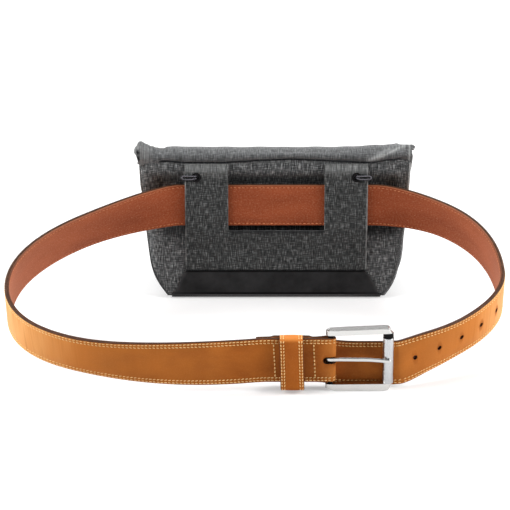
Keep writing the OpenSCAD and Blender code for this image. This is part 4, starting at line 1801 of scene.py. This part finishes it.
@dataclass
class RollPouch(Assembly):
    """Body of the pouch: shell, welts, coated base, lining, pocket and front closure tape."""

    shape: PouchShape
    shell_t: float = 1.6
    counts: tuple[int, int, int, int] = (96, 20, 96, 20)
    levels: int = 72
    welt_r: float = 0.8
    lining_in: float = 2.6
    lining_t: float = 0.6
    lining_z: float = 4.6
    hinge_web: float = 134.0
    pocket_w: float = 150.0
    pocket_h: float = 72.0
    pocket_z: float = 6.0
    pocket_t: float = 0.8
    wrap_t: float = 1.6
    base_top: float = 80.5
    base_foot: float = 92.0
    heel_r: float = 3.6
    toe_r: float = 1.6

    def shell(self) -> Piece:
        """Back, front and gussets as one sewn shell."""

        def place(u: Array, v: Array) -> Patch:
            """Points round and up the shell."""
            return self.shape.ring(u, v, self.shape.base_t, 0.0, self.counts, 0.0)

        obj = drape_grid("pouch_shell", sum(self.counts), self.levels, place)
        weld(obj)
        thicken(obj, self.shell_t, -1.0)
        return smooth(obj, 50)

    def welts(self) -> Piece:
        """Turned welts along the four upright seams."""
        shape = self.shape
        z = np.linspace(shape.base_t + 0.5, shape.mouth_z - 1, 60)
        seam, drawn = shape.half(z) - shape.seam(z), shape.half(z, True)
        backs = {
            Side.LEFT: (drawn - 0.3, shape.back_y(drawn, z) + shape.turned(z)),
            Side.RIGHT: (seam, shape.back_y(seam, z) - 0.2),
        }
        front = (drawn - 0.2, shape.front_y(z) - shape.pillow * ease(z, 10, 60))
        made = []
        for side, back in backs.items():
            for x, y in (back, front):
                frames = tube_frames(cols(side.value * x, y, z), (side.value, 0, 0))
                made.append(sweep("pouch_welts", frames, round_section(self.welt_r, 10)))
        obj = join(*made)
        x, _, z = np.array([v.co for v in obj.data.vertices]).T / MM
        # Painted highlight on the right welts, stronger higher up; painted shade on the left welts low down.
        paint_wear_and_light(obj.data, np.where(x > 0, 0.1 + 0.75 * ease(z, 45, 80), -0.6 + 0.8 * ease(z, 30, 60)))
        return smooth(obj, 60)

    def base(self) -> Piece:
        """Coated base: up the back, under the bottom and up the front."""
        rise, back, half_t = self.shape.base_rise - 0.5, self.shape.back, self.wrap_t / 2
        front = self.shape.front_at(np.linspace(0, 1, 200), half_t)
        front = front[(front[:, 1] > 5.0) & (front[:, 1] < rise)]
        turn = np.radians(np.linspace(180, 270, 8))
        heel_r, toe_r, toe_y = self.heel_r, self.toe_r, self.shape.base_d / 2 - 0.8
        heel = cols(back + 2.8 + heel_r * np.cos(turn), half_t + heel_r + heel_r * np.sin(turn))
        toe = cols(toe_y - toe_r * np.cos(turn[::-1]), half_t + toe_r + toe_r * np.sin(turn[::-1]))
        upright = cols(np.full(30, back - half_t), np.linspace(rise, 4.6, 30))
        bottom = cols(np.linspace(heel[-1, 0], toe[0, 0], 20)[1:-1], np.full(18, half_t))
        line = np.vstack([upright, heel, bottom, toe, front[::6]])
        rows = len(line) - 1
        length, height = run_length(line), line[:, 1]
        wide = np.where(height > 4.5, mix(self.base_foot, self.base_top, (height - 2) / 24), self.base_foot + 1.2)
        bow = np.sin(np.pi * np.clip(height / rise, 0, 1))
        round_off = 2.6 * (1 - np.sqrt(1 - np.clip((height - rise + 4.0) / 4.0, 0, 1) ** 2))

        def place(u: Array, v: Array) -> Patch:
            """Points across and along the base."""
            j = nearest(v, rows)
            q = 2 * u - 1
            edge = np.abs(q)
            x = (wide[j] + np.where(q > 0, 1.7 * bow[j] - round_off[j], 0.3 * bow[j])) * q
            y, z = line[j].T
            y = y + np.sign(y) * (0.5 * bow[j] * (1 - edge**4))
            end = ease(edge, 0.55, 1.0)
            # Paler at the side edges, and painted light of the floor's bounce on the lower strip.
            worn = ease(edge, 0.98, 1.0) * 0.4 + (1.6 - 1.2 * end) * (1 - ease(z, 3.4, 4.0))
            # Painted shade along the line where the base turns under.
            worn -= (1.0 - 0.6 * end) * bump(z, 4.9, 0.9, 4.0)
            # Painted shade along the base's top seam.
            worn -= 0.9 * ease(z, rise - 1.0, rise - 0.2)
            return Patch(cols(x, y, z), cols(x, length[j]), worn)

        return make_cloth(drape_grid("pouch_base", 60, rows, place), self.wrap_t, 40, (0.5, 3, 55))

    def cup(self) -> Piece:
        """Inner lining, closed at the bottom."""
        low = self.lining_z

        def place(u: Array, v: Array) -> Patch:
            """Points round and up the lining."""
            patch = self.shape.ring(u, v, low, 1.5, self.counts, self.lining_in)
            part, t = segments(u, self.counts)
            hem = ease(v, 0.93, 1.0) * (part == 0) * (1 - ease(np.abs(2 * t - 1), 0.93, 0.985))
            rise = self.hinge_web - self.shape.back_top(t)
            return Patch(patch.xyz + cols(0 * hem, 0.8 * hem, rise * hem), patch.uv)

        obj = drape_grid("pouch_cup", sum(self.counts), 40, place)
        weld(obj)
        with editing(obj, Part.VERT, lambda v: v.co.z < (low + 0.1) * MM):
            bpy.ops.mesh.edge_face_add()
            face_outward()
        thicken(obj, self.lining_t, -1.0)
        return smooth(obj, 50)

    def pocket(self) -> Piece:
        """Slip pocket inside the back, open at its top."""

        def place(u: Array, v: Array) -> Patch:
            """Points across and up the pocket."""
            x = self.pocket_w * (u - 0.5) * (1 - 0.02 * (1 - ease(v, 0, 0.12)))
            z = mix(self.pocket_z, self.pocket_z + self.pocket_h, v)
            gape = 2.5 * ease(v, 0.55, 1.0) * (1 - (2 * u - 1) ** 2)
            y = self.shape.back_y(x, z) + self.lining_in + 1.5 + gape
            return Patch(cols(x, y, z), cols(x, z))

        return make_cloth(drape_grid("pocket_panel", 50, 30, place), self.pocket_t, 50)

    def build(self) -> None:
        """Build the body's pieces."""
        self.keep(self.shell(), self.welts(), self.base(), self.cup(), self.pocket())
        self.keep(self.shape.tape("front_tape", 0.05))

    def dress(self) -> None:
        """Give the body its finishes."""
        cloth = HeatherCloth()
        loop = ClosureTape("loop_tape", tint(26, 26, 27), tint(62, 62, 64), 900.0)
        sewn = ["back_panel", "front_panel", "left_gusset", "right_gusset"]
        self.wear("pouch_shell", Body.POUCH, Slot.HEATHER, [cloth], *sewn)
        self.wear("pouch_welts", Body.POUCH, Slot.HEATHER, [cloth])
        self.wear("pouch_base", Body.POUCH, Slot.COATED, [CoatedCloth()], "base_panel")
        self.wear("pouch_cup", Body.POUCH, Slot.LINING, [LiningCloth()], "pouch_lining")
        self.wear("pocket_panel", Body.POUCH, Slot.LINING, [LiningCloth("pocket_cloth")], "slip_pocket")
        self.wear("front_tape", Body.POUCH, Slot.TAPE, [loop], "front_loop_strip")


@dataclass
class RollFlap(Assembly):
    """Flap rolled over the mouth, with its folded ears and hook tape."""

    shape: PouchShape
    width: float = 246.0
    thick: float = 2.2
    half_t: float = 0.9
    gap: float = 2.5
    drop: float = 58.0
    corner: float = 15.0
    roll_rise: float = 12.0
    roll_pull: float = 14.0
    front_rows: int = 40
    roll_rows: int = 44
    columns: int = 220
    ridge_at: float = 0.62
    ridge: Pair = (5.0, 10.4)
    back_from: float = 0.45
    gore_t: float = 0.8
    gore_in: float = 7.0
    gore_x: Pair = (-121.5, 116.6)
    ear_fold: tuple[Pair, Pair] = ((80.0, 130.0), (113.0, 141.0))
    left_fold: tuple[Pair, Pair] = ((-104.0, 130.0), (-121.0, 141.0))
    top_keys: tuple[Pair, ...] = (
        (-124.8, -3.4), (-122.9, 0.0), (-119.9, 4.5), (-114.7, 2.0), (-110.0, -0.5), (-105.8, -3.4), (-103.0, -5.2),
        (-99.7, -5.9), (-95.9, -3.9), (-88.4, -3.1), (-60.0, -3.8), (48.0, -3.8), (65.0, -3.1), (91.0, -1.8),
        (105.0, -0.2), (115.0, 1.4), (119.0, 1.6), (121.9, 0.0),
    )

    def profile(self) -> tuple[Array, Array, Array]:
        """Flap's middle layer in Y and Z, from its lower edge to its hinge.

        Returns:
            Points, their outward normals and their share of the roll.
        """
        mouth = np.array([1.0])
        front = self.shape.front_at(np.linspace(0, 1, 600), self.gap + self.half_t)
        front = respace(front[front[:, 1] > self.shape.mouth_z - self.drop], self.front_rows + 1)
        start = self.shape.front_at(mouth, self.gap)[0]
        pull = start + self.roll_pull * self.shape.front_dir(mouth)[0]
        end = np.array([self.shape.hinge_y + self.half_t, self.shape.hinge_z])
        r = np.linspace(0, 1, self.roll_rows + 1)
        roll = bezier([start, pull, end + (0, self.roll_rise), end], r)
        roll = roll + self.half_t * out_of(unit(np.gradient(roll, axis=0)))
        line = np.vstack([front[:-1], roll])
        share = np.concatenate([np.zeros(len(front) - 1), r])
        return line, out_of(unit(np.gradient(line, axis=0))), share

    def ear(self, r: Array) -> Array:
        """Pinched profile of the roll at its ends: up the back to a ridge and down to the front."""
        front = self.shape.front_at(np.array([1.0]), self.gap + self.half_t)[0]
        end = np.array([self.shape.hinge_y, self.shape.hinge_z])
        ridge = end + self.ridge
        rise = np.clip(r / self.ridge_at, 0, 1)[:, None]
        fall = np.clip((r - self.ridge_at) / (1 - self.ridge_at), 0, 1)[:, None]
        sag = cols(np.zeros(len(r)), -1.6 * np.sin(np.pi * rise[:, 0]))
        return np.where(r[:, None] < self.ridge_at, mix(front, ridge, rise) + sag, mix(ridge, end, fall))

    def surface(self, x: Array, j: Array) -> tuple[Array, Array]:
        """Points of the flap's middle layer.

        Args:
            x: Places across the flap.
            j: Rows of the profile.

        Returns:
            Points and lengths along the profile.
        """
        line, normal, share = self.profile()
        r, p = share[j], line[j]
        on_roll, behind = np.sin(np.pi * r), r > self.back_from
        pinch = ease(np.abs(x), 100.0, 121.0) * (r > 0)
        p = mix(p, np.where((r > 0)[:, None], self.ear(r), p), (0.85 * pinch)[:, None])
        puff = 0.9 * on_roll + 1.0 * bump(r, 0.86, 0.10)
        crease = self.fold_line(x, p[:, 1], *self.ear_fold) * behind
        left_fold = self.fold_line(x, p[:, 1], *self.left_fold) * behind
        ripple = 0.35 * np.sin(x * 0.19 + 1.0) * np.sin(x * 0.053) * on_roll
        p = p + normal[j] * (puff * (1 - 0.6 * pinch) + 1.5 * crease + 0.8 * left_fold + ripple)[:, None]
        merge = ease(-x, 99.0, 113.0) + ease(x, 113.0, 118.0)
        p[:, 1] += follow(x, self.top_keys) * on_roll + follow(x, self.shape.crease_keys) * ease(r, 0.7, 1.0)
        p[:, 1] -= 7.0 * merge * ease(r, 0.75, 1.0)
        p[:, 0] += 1.0 * ease(r, 0.93, 1.0) + 3.2 * merge * ease(r, 0.85, 1.0)
        return cols(x, p[:, 0], p[:, 1]), run_length(line)[j]

    def fold_line(self, x: Array, z: Array, a: Pair, b: Pair) -> Array:
        """Sharp ridge along a line on the back of the roll."""
        a, b = np.array(a), np.array(b)
        span = float(np.linalg.norm(b - a))
        d = (b - a) / span
        side = (x - a[0]) * d[1] - (z - a[1]) * d[0]
        along = (x - a[0]) * d[0] + (z - a[1]) * d[1]
        return np.exp(-np.abs(side) / 1.1) * ease(along, -4, 4) * (1 - ease(along, span - 4, span + 4))

    def cover(self) -> Piece:
        """The flap's cloth."""
        line, _, share = self.profile()
        rows = len(line) - 1
        length = run_length(line)

        def place(u: Array, v: Array) -> Patch:
            """Points across and along the flap."""
            j = nearest(v, rows)
            q, r = 2 * u - 1, share[j]
            edge = np.abs(q)
            d = np.clip(length[j], 0, self.corner)
            round_off = self.corner - np.sqrt(self.corner**2 - (self.corner - d) ** 2)
            x = (self.width / 2 - round_off) * (1.22 * q - 0.22 * q**5)
            tuck = np.where(q > 0, -4.4 * ease(r, 0.66, 0.76), 3.0 * ease(r, 0.72, 1.0))
            rolled = ease(r, 0.05, 0.4)
            x = x * mix(0.963, 1.0, rolled) - 1.4 * edge * rolled + tuck * ease(edge, 0.9, 1.0)
            xyz, run = self.surface(x, j)
            # Painted highlight along the hem, the right ear's diagonal fold, the left ear and a line at the right end.
            hem = np.maximum(ease(edge, 0.965, 1.0), 1 - ease(length[j], 0, 2.0))
            ears = 0.9 * self.fold_line(x, xyz[:, 2], *self.ear_fold) * (r > self.back_from)
            ears = np.maximum(ears, 0.3 * ease(-x, 106.0, 115.0) * (r > 0.5))
            worn = np.maximum(np.maximum(0.7 * hem, ears), 0.75 * bump(x, 116.8, 0.9) * (r > 0.3))
            # Darker at two small spots on the left ear's edge.
            for z in (131.0, 136.0):
                worn = worn - 1.6 * bump(np.hypot(x + 121.4, (xyz[:, 2] - z) * 0.7), 0.0, 1.1) * (r > 0.5)
            return Patch(xyz, cols(x, run), worn)

        return make_cloth(drape_grid("flap_cover", self.columns, rows, place), self.thick, 60, (0.7, 3, 60))

    def gore(self, side: Side) -> Piece:
        """Cloth folded in at one end of the roll, which closes it."""
        rows = np.flatnonzero(self.profile()[2] > 0)
        floor = self.shape.mouth_z + 1.2
        rim_x = self.gore_x[side is Side.RIGHT]

        def place(u: Array, v: Array) -> Patch:
            """Points round the roll's end and in towards the mouth."""
            j = rows[nearest(u, len(rows) - 1)]
            rim, run = self.surface(np.full(len(j), rim_x), j)
            low = cols(rim[:, 0], mix(rim[:, 1], -26.0, 0.25), np.minimum(floor, rim[:, 2]))
            xyz = mix(rim, low, v[:, None])
            xyz[:, 0] -= side.value * self.gore_in * np.sin(np.pi * np.clip(v, 0, 1))
            # Painted light, paler towards the rim of the roll's end.
            return Patch(xyz, cols(run, v * 12.0), 0.3 * (1 - v))

        return make_cloth(drape_grid(f"flap_gore_{side.name.lower()}", len(rows) - 1, 10, place), self.gore_t, 60)

    def build(self) -> None:
        """Build the flap's pieces."""
        self.keep(self.cover(), *[self.gore(side) for side in Side], self.shape.tape("flap_tape", 1.35))

    def dress(self) -> None:
        """Give the flap its finishes."""
        cloth = HeatherCloth("flap_cloth", tint(59, 60, 61), tint(88, 89, 90), tint(125, 127, 127))
        hook = ClosureTape("hook_tape", tint(18, 18, 19), tint(48, 48, 50), 1300.0)
        self.wear("flap_cover", Body.FLAP, Slot.HEATHER, [cloth], "flap")
        for side in Side:
            self.wear(f"flap_gore_{side.name.lower()}", Body.FLAP, Slot.HEATHER, [cloth])
        self.wear("flap_tape", Body.FLAP, Slot.TAPE, [hook], "flap_hook_strip")


@dataclass
class BeltLoops(Assembly):
    """U-shaped panel with the two belt loops, sewn to the pouch's back."""

    shape: PouchShape
    width: float = 161.0
    arm_w: float = 38.0
    thick: float = 1.6
    arm_y: float = -42.0
    foot_z: float = 59.0
    window_z: float = 65.5
    arm_high: float = 120.2
    arm_top: float = 126.3
    anchor_x: float = 70.5
    anchor_z: float = 115.5
    barrel_r: float = 3.2
    columns: tuple[int, int, int] = (22, 34, 22)
    rows: tuple[int, int, int, int] = (20, 8, 40, 8)

    def panel(self) -> Piece:
        """The panel, with its window and eyelet holes cut out."""
        half, inner = self.width / 2, self.width / 2 - self.arm_w
        back, seam_z = self.shape.back, self.shape.base_rise + 0.4
        heights = [seam_z, self.foot_z, self.window_z, self.arm_high, self.arm_top]
        stops_x = [-half, -inner, inner, half]

        def place(u: Array, v: Array) -> Patch:
            """Points across and up the panel."""
            part, t = segments(u, self.columns)
            edge = np.abs(2 * t - 1)
            t = np.where(part == 1, t, 0.5 + 0.5 * np.sign(2 * t - 1) * (1.25 * edge - 0.25 * edge**5))
            x = mix(np.take(stops_x, part), np.take(stops_x, part + 1), t)
            row, s = segments(v, self.rows)
            z = mix(np.take(heights, row), np.take(heights, row + 1), s)
            off = np.abs(x)
            out = half - off
            lift = ease(z, self.foot_z - 15.0, self.window_z + 4.0) - ease(z, self.arm_high, self.arm_top)
            y = mix(back - 0.4 * (z > self.arm_high), self.arm_y, lift) - self.thick / 2
            side_in = np.where(z > self.window_z, off - inner, 99.0)
            rim = np.minimum(out, np.abs(side_in))
            rim = np.where((off < inner) & (z > self.window_z - 3), np.abs(z - self.window_z), rim)
            hem = 0.35 * bump(rim, 0.8, 1.3) - 0.12 * bump(rim, 3.2, 0.9)
            slack = 0.5 * bump(z, 97, 12) * np.sin(x * 0.11)
            # Painted highlight along the outer and inner edges, and painted light towards the tops of the arms.
            outer = np.where(x > 0, 0.7, 0.25 + 0.3 * ease(z, 80, 105)) * (1 - ease(out, 0.2, 1.3))
            worn = np.maximum(outer, 0.2 * (1 - ease(np.abs(side_in), 0.2, 1.2)))
            worn = np.maximum(worn, 0.3 * ease(z, 113, 124))
            # Painted shadow of the belt on the panel just under the window.
            worn = worn - 0.7 * (1 - ease(self.window_z - z, 0.5, 4.5)) * (off < inner)
            # Painted shadow under each cord's bight, and painted shade at the seam with the base.
            cord_x = np.maximum(np.abs(off - self.anchor_x - 5.0) - 4.5, 0)
            shade = bump(np.hypot(cord_x, (z - self.anchor_z + 0.8) * 0.8), 0.0, 2.6, 3.0)
            worn = worn - 0.8 * shade - 0.85 * (1 - ease(z, seam_z + 0.6, seam_z + 1.8))
            return Patch(cols(x, y - hem + slack * 0.4, z), cols(x + 300, z), worn)

        def in_window(face: bpy.types.MeshPolygon) -> bool:
            """Whether a face lies in the window."""
            middle = face.center / MM
            return abs(middle.x) < inner and middle.z > self.window_z

        obj = drape_grid("loop_panel", sum(self.columns), sum(self.rows), place)
        with editing(obj, Part.FACE, in_window):
            bpy.ops.mesh.delete(type="FACE")
            face_outward()
        thicken(obj, self.thick)
        round_edges(obj, 0.5, 2, 60)
        weld(obj)
        for side in Side:
            middle = (side.value * self.anchor_x, self.arm_y, self.anchor_z)
            cut(obj, round_bar("eyelet_cutter", self.barrel_r, 12, middle, 32, (QUARTER, 0, 0)))
        return smooth(obj, 45)

    def build(self) -> None:
        """Build the panel."""
        self.keep(self.panel())

    def dress(self) -> None:
        """Give the panel its finish."""
        # The fifth colour is the painted highlight along the panel's edges.
        cloth = HeatherCloth("loop_cloth", tint(29, 31, 31), tint(63, 65, 65), tint(127, 129, 129), tint(165, 166, 165))
        self.wear("loop_panel", Body.POUCH, Slot.HEATHER, [cloth], "belt_loop_panel")


@dataclass
class AnchorLoop(Assembly):
    """Black cord through one eyelet: a knot behind it and a bight in front."""

    side: Side
    anchor_x: float = 70.5
    arm_y: float = -42.0
    anchor_z: float = 115.5
    cord_d: float = 1.2
    reach: float = 13.5
    lift: float = 3.1
    spread: float = 1.4
    knot_back: float = 2.4
    knot_size: Triple = (3.2, 1.5, 3.2)

    @property
    def word(self) -> str:
        """The side as a word in names."""
        return self.side.name.lower()

    def build(self) -> None:
        """Build the bight and its knot."""
        s, lift, spread = self.side.value, self.lift, self.spread
        run = self.reach - spread - self.cord_d / 2
        keys = [(0, 0.3, 0.75), (0.2, 1.8, 0.9), (1.6, lift - 0.3, 1.2), (4.0, lift + 0.1, spread)]
        keys += [(run * 0.7, lift, spread + 0.15)]
        turn = np.radians(np.linspace(90, -90, 13))
        bend = [(run + spread * math.cos(a), lift, spread * math.sin(a)) for a in turn]
        path = keys + bend + [(x, y, -z) for x, y, z in reversed(keys)]
        coarse = np.array([(s * (self.anchor_x + x), self.arm_y - y, self.anchor_z + z) for x, y, z in path])
        frames = tube_frames(soften(respace(coarse, 90), 8), (0, 0, 1))
        bight = sweep(f"anchor_bight_{self.word}", frames, round_section(self.cord_d / 2, 14))
        clear_selection()
        middle = Vector((s * self.anchor_x, self.arm_y + self.knot_back, self.anchor_z)) * MM
        bpy.ops.mesh.primitive_ico_sphere_add(subdivisions=3, radius=1.0 * MM, location=middle, scale=self.knot_size)
        self.keep(smooth(join(bight, place_at_origin(take_new("anchor_knot"))), 60))

    def dress(self) -> None:
        """Give the cord its finish."""
        body = Body.LEFT_ANCHOR if self.side is Side.LEFT else Body.RIGHT_ANCHOR
        self.wear(f"anchor_bight_{self.word}", body, Slot.CORD, [BraidedCord()], f"{self.word}_anchor_cord")


@dataclass
class Studio:
    """Pale floor, soft lamps, white surround and the camera at the photograph's angle."""

    aim: Triple = (-18.8, -37.5, 40.7)
    distance: float = 2210.0
    elevation: float = 20.0
    focal_px: float = 2480.0
    frame_px: float = 510.0
    sensor: float = 36.0
    floor_size: float = 6.0
    floor_z: float = -0.0002
    paper: Colour = (0.55, 0.55, 0.55, 1)
    shown_paper: Colour = (0.68, 0.68, 0.68, 1)

    def add(self, name: str, data: bpy.types.ID, place: Sequence[float], turn: Any) -> Piece:
        """Add a lamp or the camera at a place in metres."""
        obj = bpy.data.objects.new(name, data)
        obj.location, obj.rotation_euler = place, turn
        bpy.context.scene.collection.objects.link(obj)
        return obj

    def camera(self) -> None:
        """Place the camera."""
        data = bpy.data.cameras.new("view_camera")
        data.sensor_width = self.sensor
        data.lens = self.sensor * self.focal_px / self.frame_px
        data.clip_end = 50.0
        tilt = math.radians(self.elevation)
        away = Vector((0, -math.cos(tilt), math.sin(tilt))) * self.distance
        place = (Vector(self.aim) + away) * MM
        bpy.context.scene.camera = self.add("view_camera", data, place, (QUARTER - tilt, 0, 0))

    def lamp(self, name: str, place: Triple, size: Pair, power: float, aim: Triple) -> None:
        """Add a soft box.

        Args:
            name: Name of the lamp.
            place: Its place in metres.
            size: Its width and height in metres.
            power: Its power in watts.
            aim: Point that it faces.
        """
        data = bpy.data.lights.new(name, "AREA")
        data.shape = "RECTANGLE"
        data.size, data.size_y = size
        data.energy = power
        self.add(name, data, place, (Vector(aim) - Vector(place)).to_track_quat("-Z", "Y").to_euler())

    def show(self, nodes: Nodes, lit: Socket, shown: Socket, output: str) -> None:
        """End a tree with one shader for light that bounces and one for what is seen.

        Args:
            nodes: The tree's nodes.
            lit: Shader for light that bounces.
            shown: Shader for rays from the camera, a reflection or glass.
            output: Name of the tree's output node.
        """
        rays = nodes.add("LightPath", {}).node.outputs
        seen = nodes.calc("MAXIMUM", rays["Is Camera Ray"], rays["Is Glossy Ray"])
        seen = nodes.calc("MAXIMUM", seen, rays["Is Transmission Ray"])
        both = nodes.add("MixShader", {0: seen, 1: lit, 2: shown})
        nodes.feed(nodes.tree.nodes[output].inputs["Surface"], both)

    def surround(self) -> None:
        """White surround under a dim ceiling, which lights softly."""
        world = bpy.context.scene.world = bpy.data.worlds.new("white_surround")
        world.use_nodes = True
        nodes = Nodes(world.node_tree)
        axes = nodes.add("SeparateXYZ", {0: nodes.add("TexCoord", {}, "Generated")}).node.outputs
        level = nodes.span(axes["Y"], -0.7, 0.6, 0.16, 0.66)
        ceiling = nodes.span(axes["Z"], 0.47, 0.76, 1.0, 0.08)
        soft = nodes.add("Background", {"Color": (1, 1, 1, 1), "Strength": level})
        self.show(nodes, soft, nodes.add("Background", {"Strength": ceiling}), "World Output")

    def floor(self) -> None:
        """Pale floor that keeps the object's shadow."""
        clear_selection()
        bpy.ops.mesh.primitive_plane_add(size=self.floor_size, location=(0, 0, self.floor_z))
        floor = place_at_origin(take_new("studio_floor"))
        material = bpy.data.materials.new("studio_paper")
        material.use_nodes = True
        nodes = Nodes(material.node_tree)
        nodes.tree.nodes.remove(nodes.tree.nodes["Principled BSDF"])
        away = nodes.add("VectorMath", {0: nodes.add("TexCoord", {}, "Object")}, "Value", operation="LENGTH")
        glow = nodes.add("Emission", {"Strength": nodes.span(away, 0.45, 0.9, 0.36, 1.0)})
        shown = nodes.add("AddShader", {0: nodes.add("BsdfDiffuse", {"Color": self.shown_paper}), 1: glow})
        self.show(nodes, nodes.add("BsdfDiffuse", {"Color": self.paper}), shown, "Material Output")
        floor.data.materials.append(material)

    def build(self) -> None:
        """Build the studio."""
        bpy.context.scene.view_settings.view_transform = "Standard"
        self.camera()
        self.surround()
        self.floor()
        self.lamp("left_box", (-1.5, -0.45, 0.95), (1.1, 1.1), 31.0, (-0.1, -0.15, 0.05))
        self.lamp("right_box", (1.5, -0.45, 0.95), (1.1, 1.1), 31.0, (0.1, -0.15, 0.05))
        self.lamp("back_box", (0.0, 0.7, 1.5), (1.6, 0.8), 12.0, (0.0, -0.05, 0.1))


def main() -> None:
    """Build every sub-assembly over the frame and report each piece."""
    logging.basicConfig(level=logging.INFO, format="%(name)s: %(message)s")
    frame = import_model()
    Studio().build()
    shape = PouchShape()
    assemblies: list[Assembly] = [
        LeatherBelt(BeltPath()),
        KeeperLoop(),
        RollerBuckle(),
        RollPouch(shape),
        RollFlap(shape),
        BeltLoops(shape),
        AnchorLoop(Side.LEFT),
        AnchorLoop(Side.RIGHT),
    ]
    for assembly in assemblies:
        assembly.build()
        assembly.dress()
        for name, piece in assembly.pieces.items():
            LOG.info("%s: %s, %d faces", type(assembly).__name__, name, len(piece.data.polygons))
    dress_node(frame, "anchor_eyelets", BlackLacquer())
    dress_node(frame, "base_board", PressedBoard())
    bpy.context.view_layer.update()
    clear_selection()


if __name__ == "__main__":
    main()
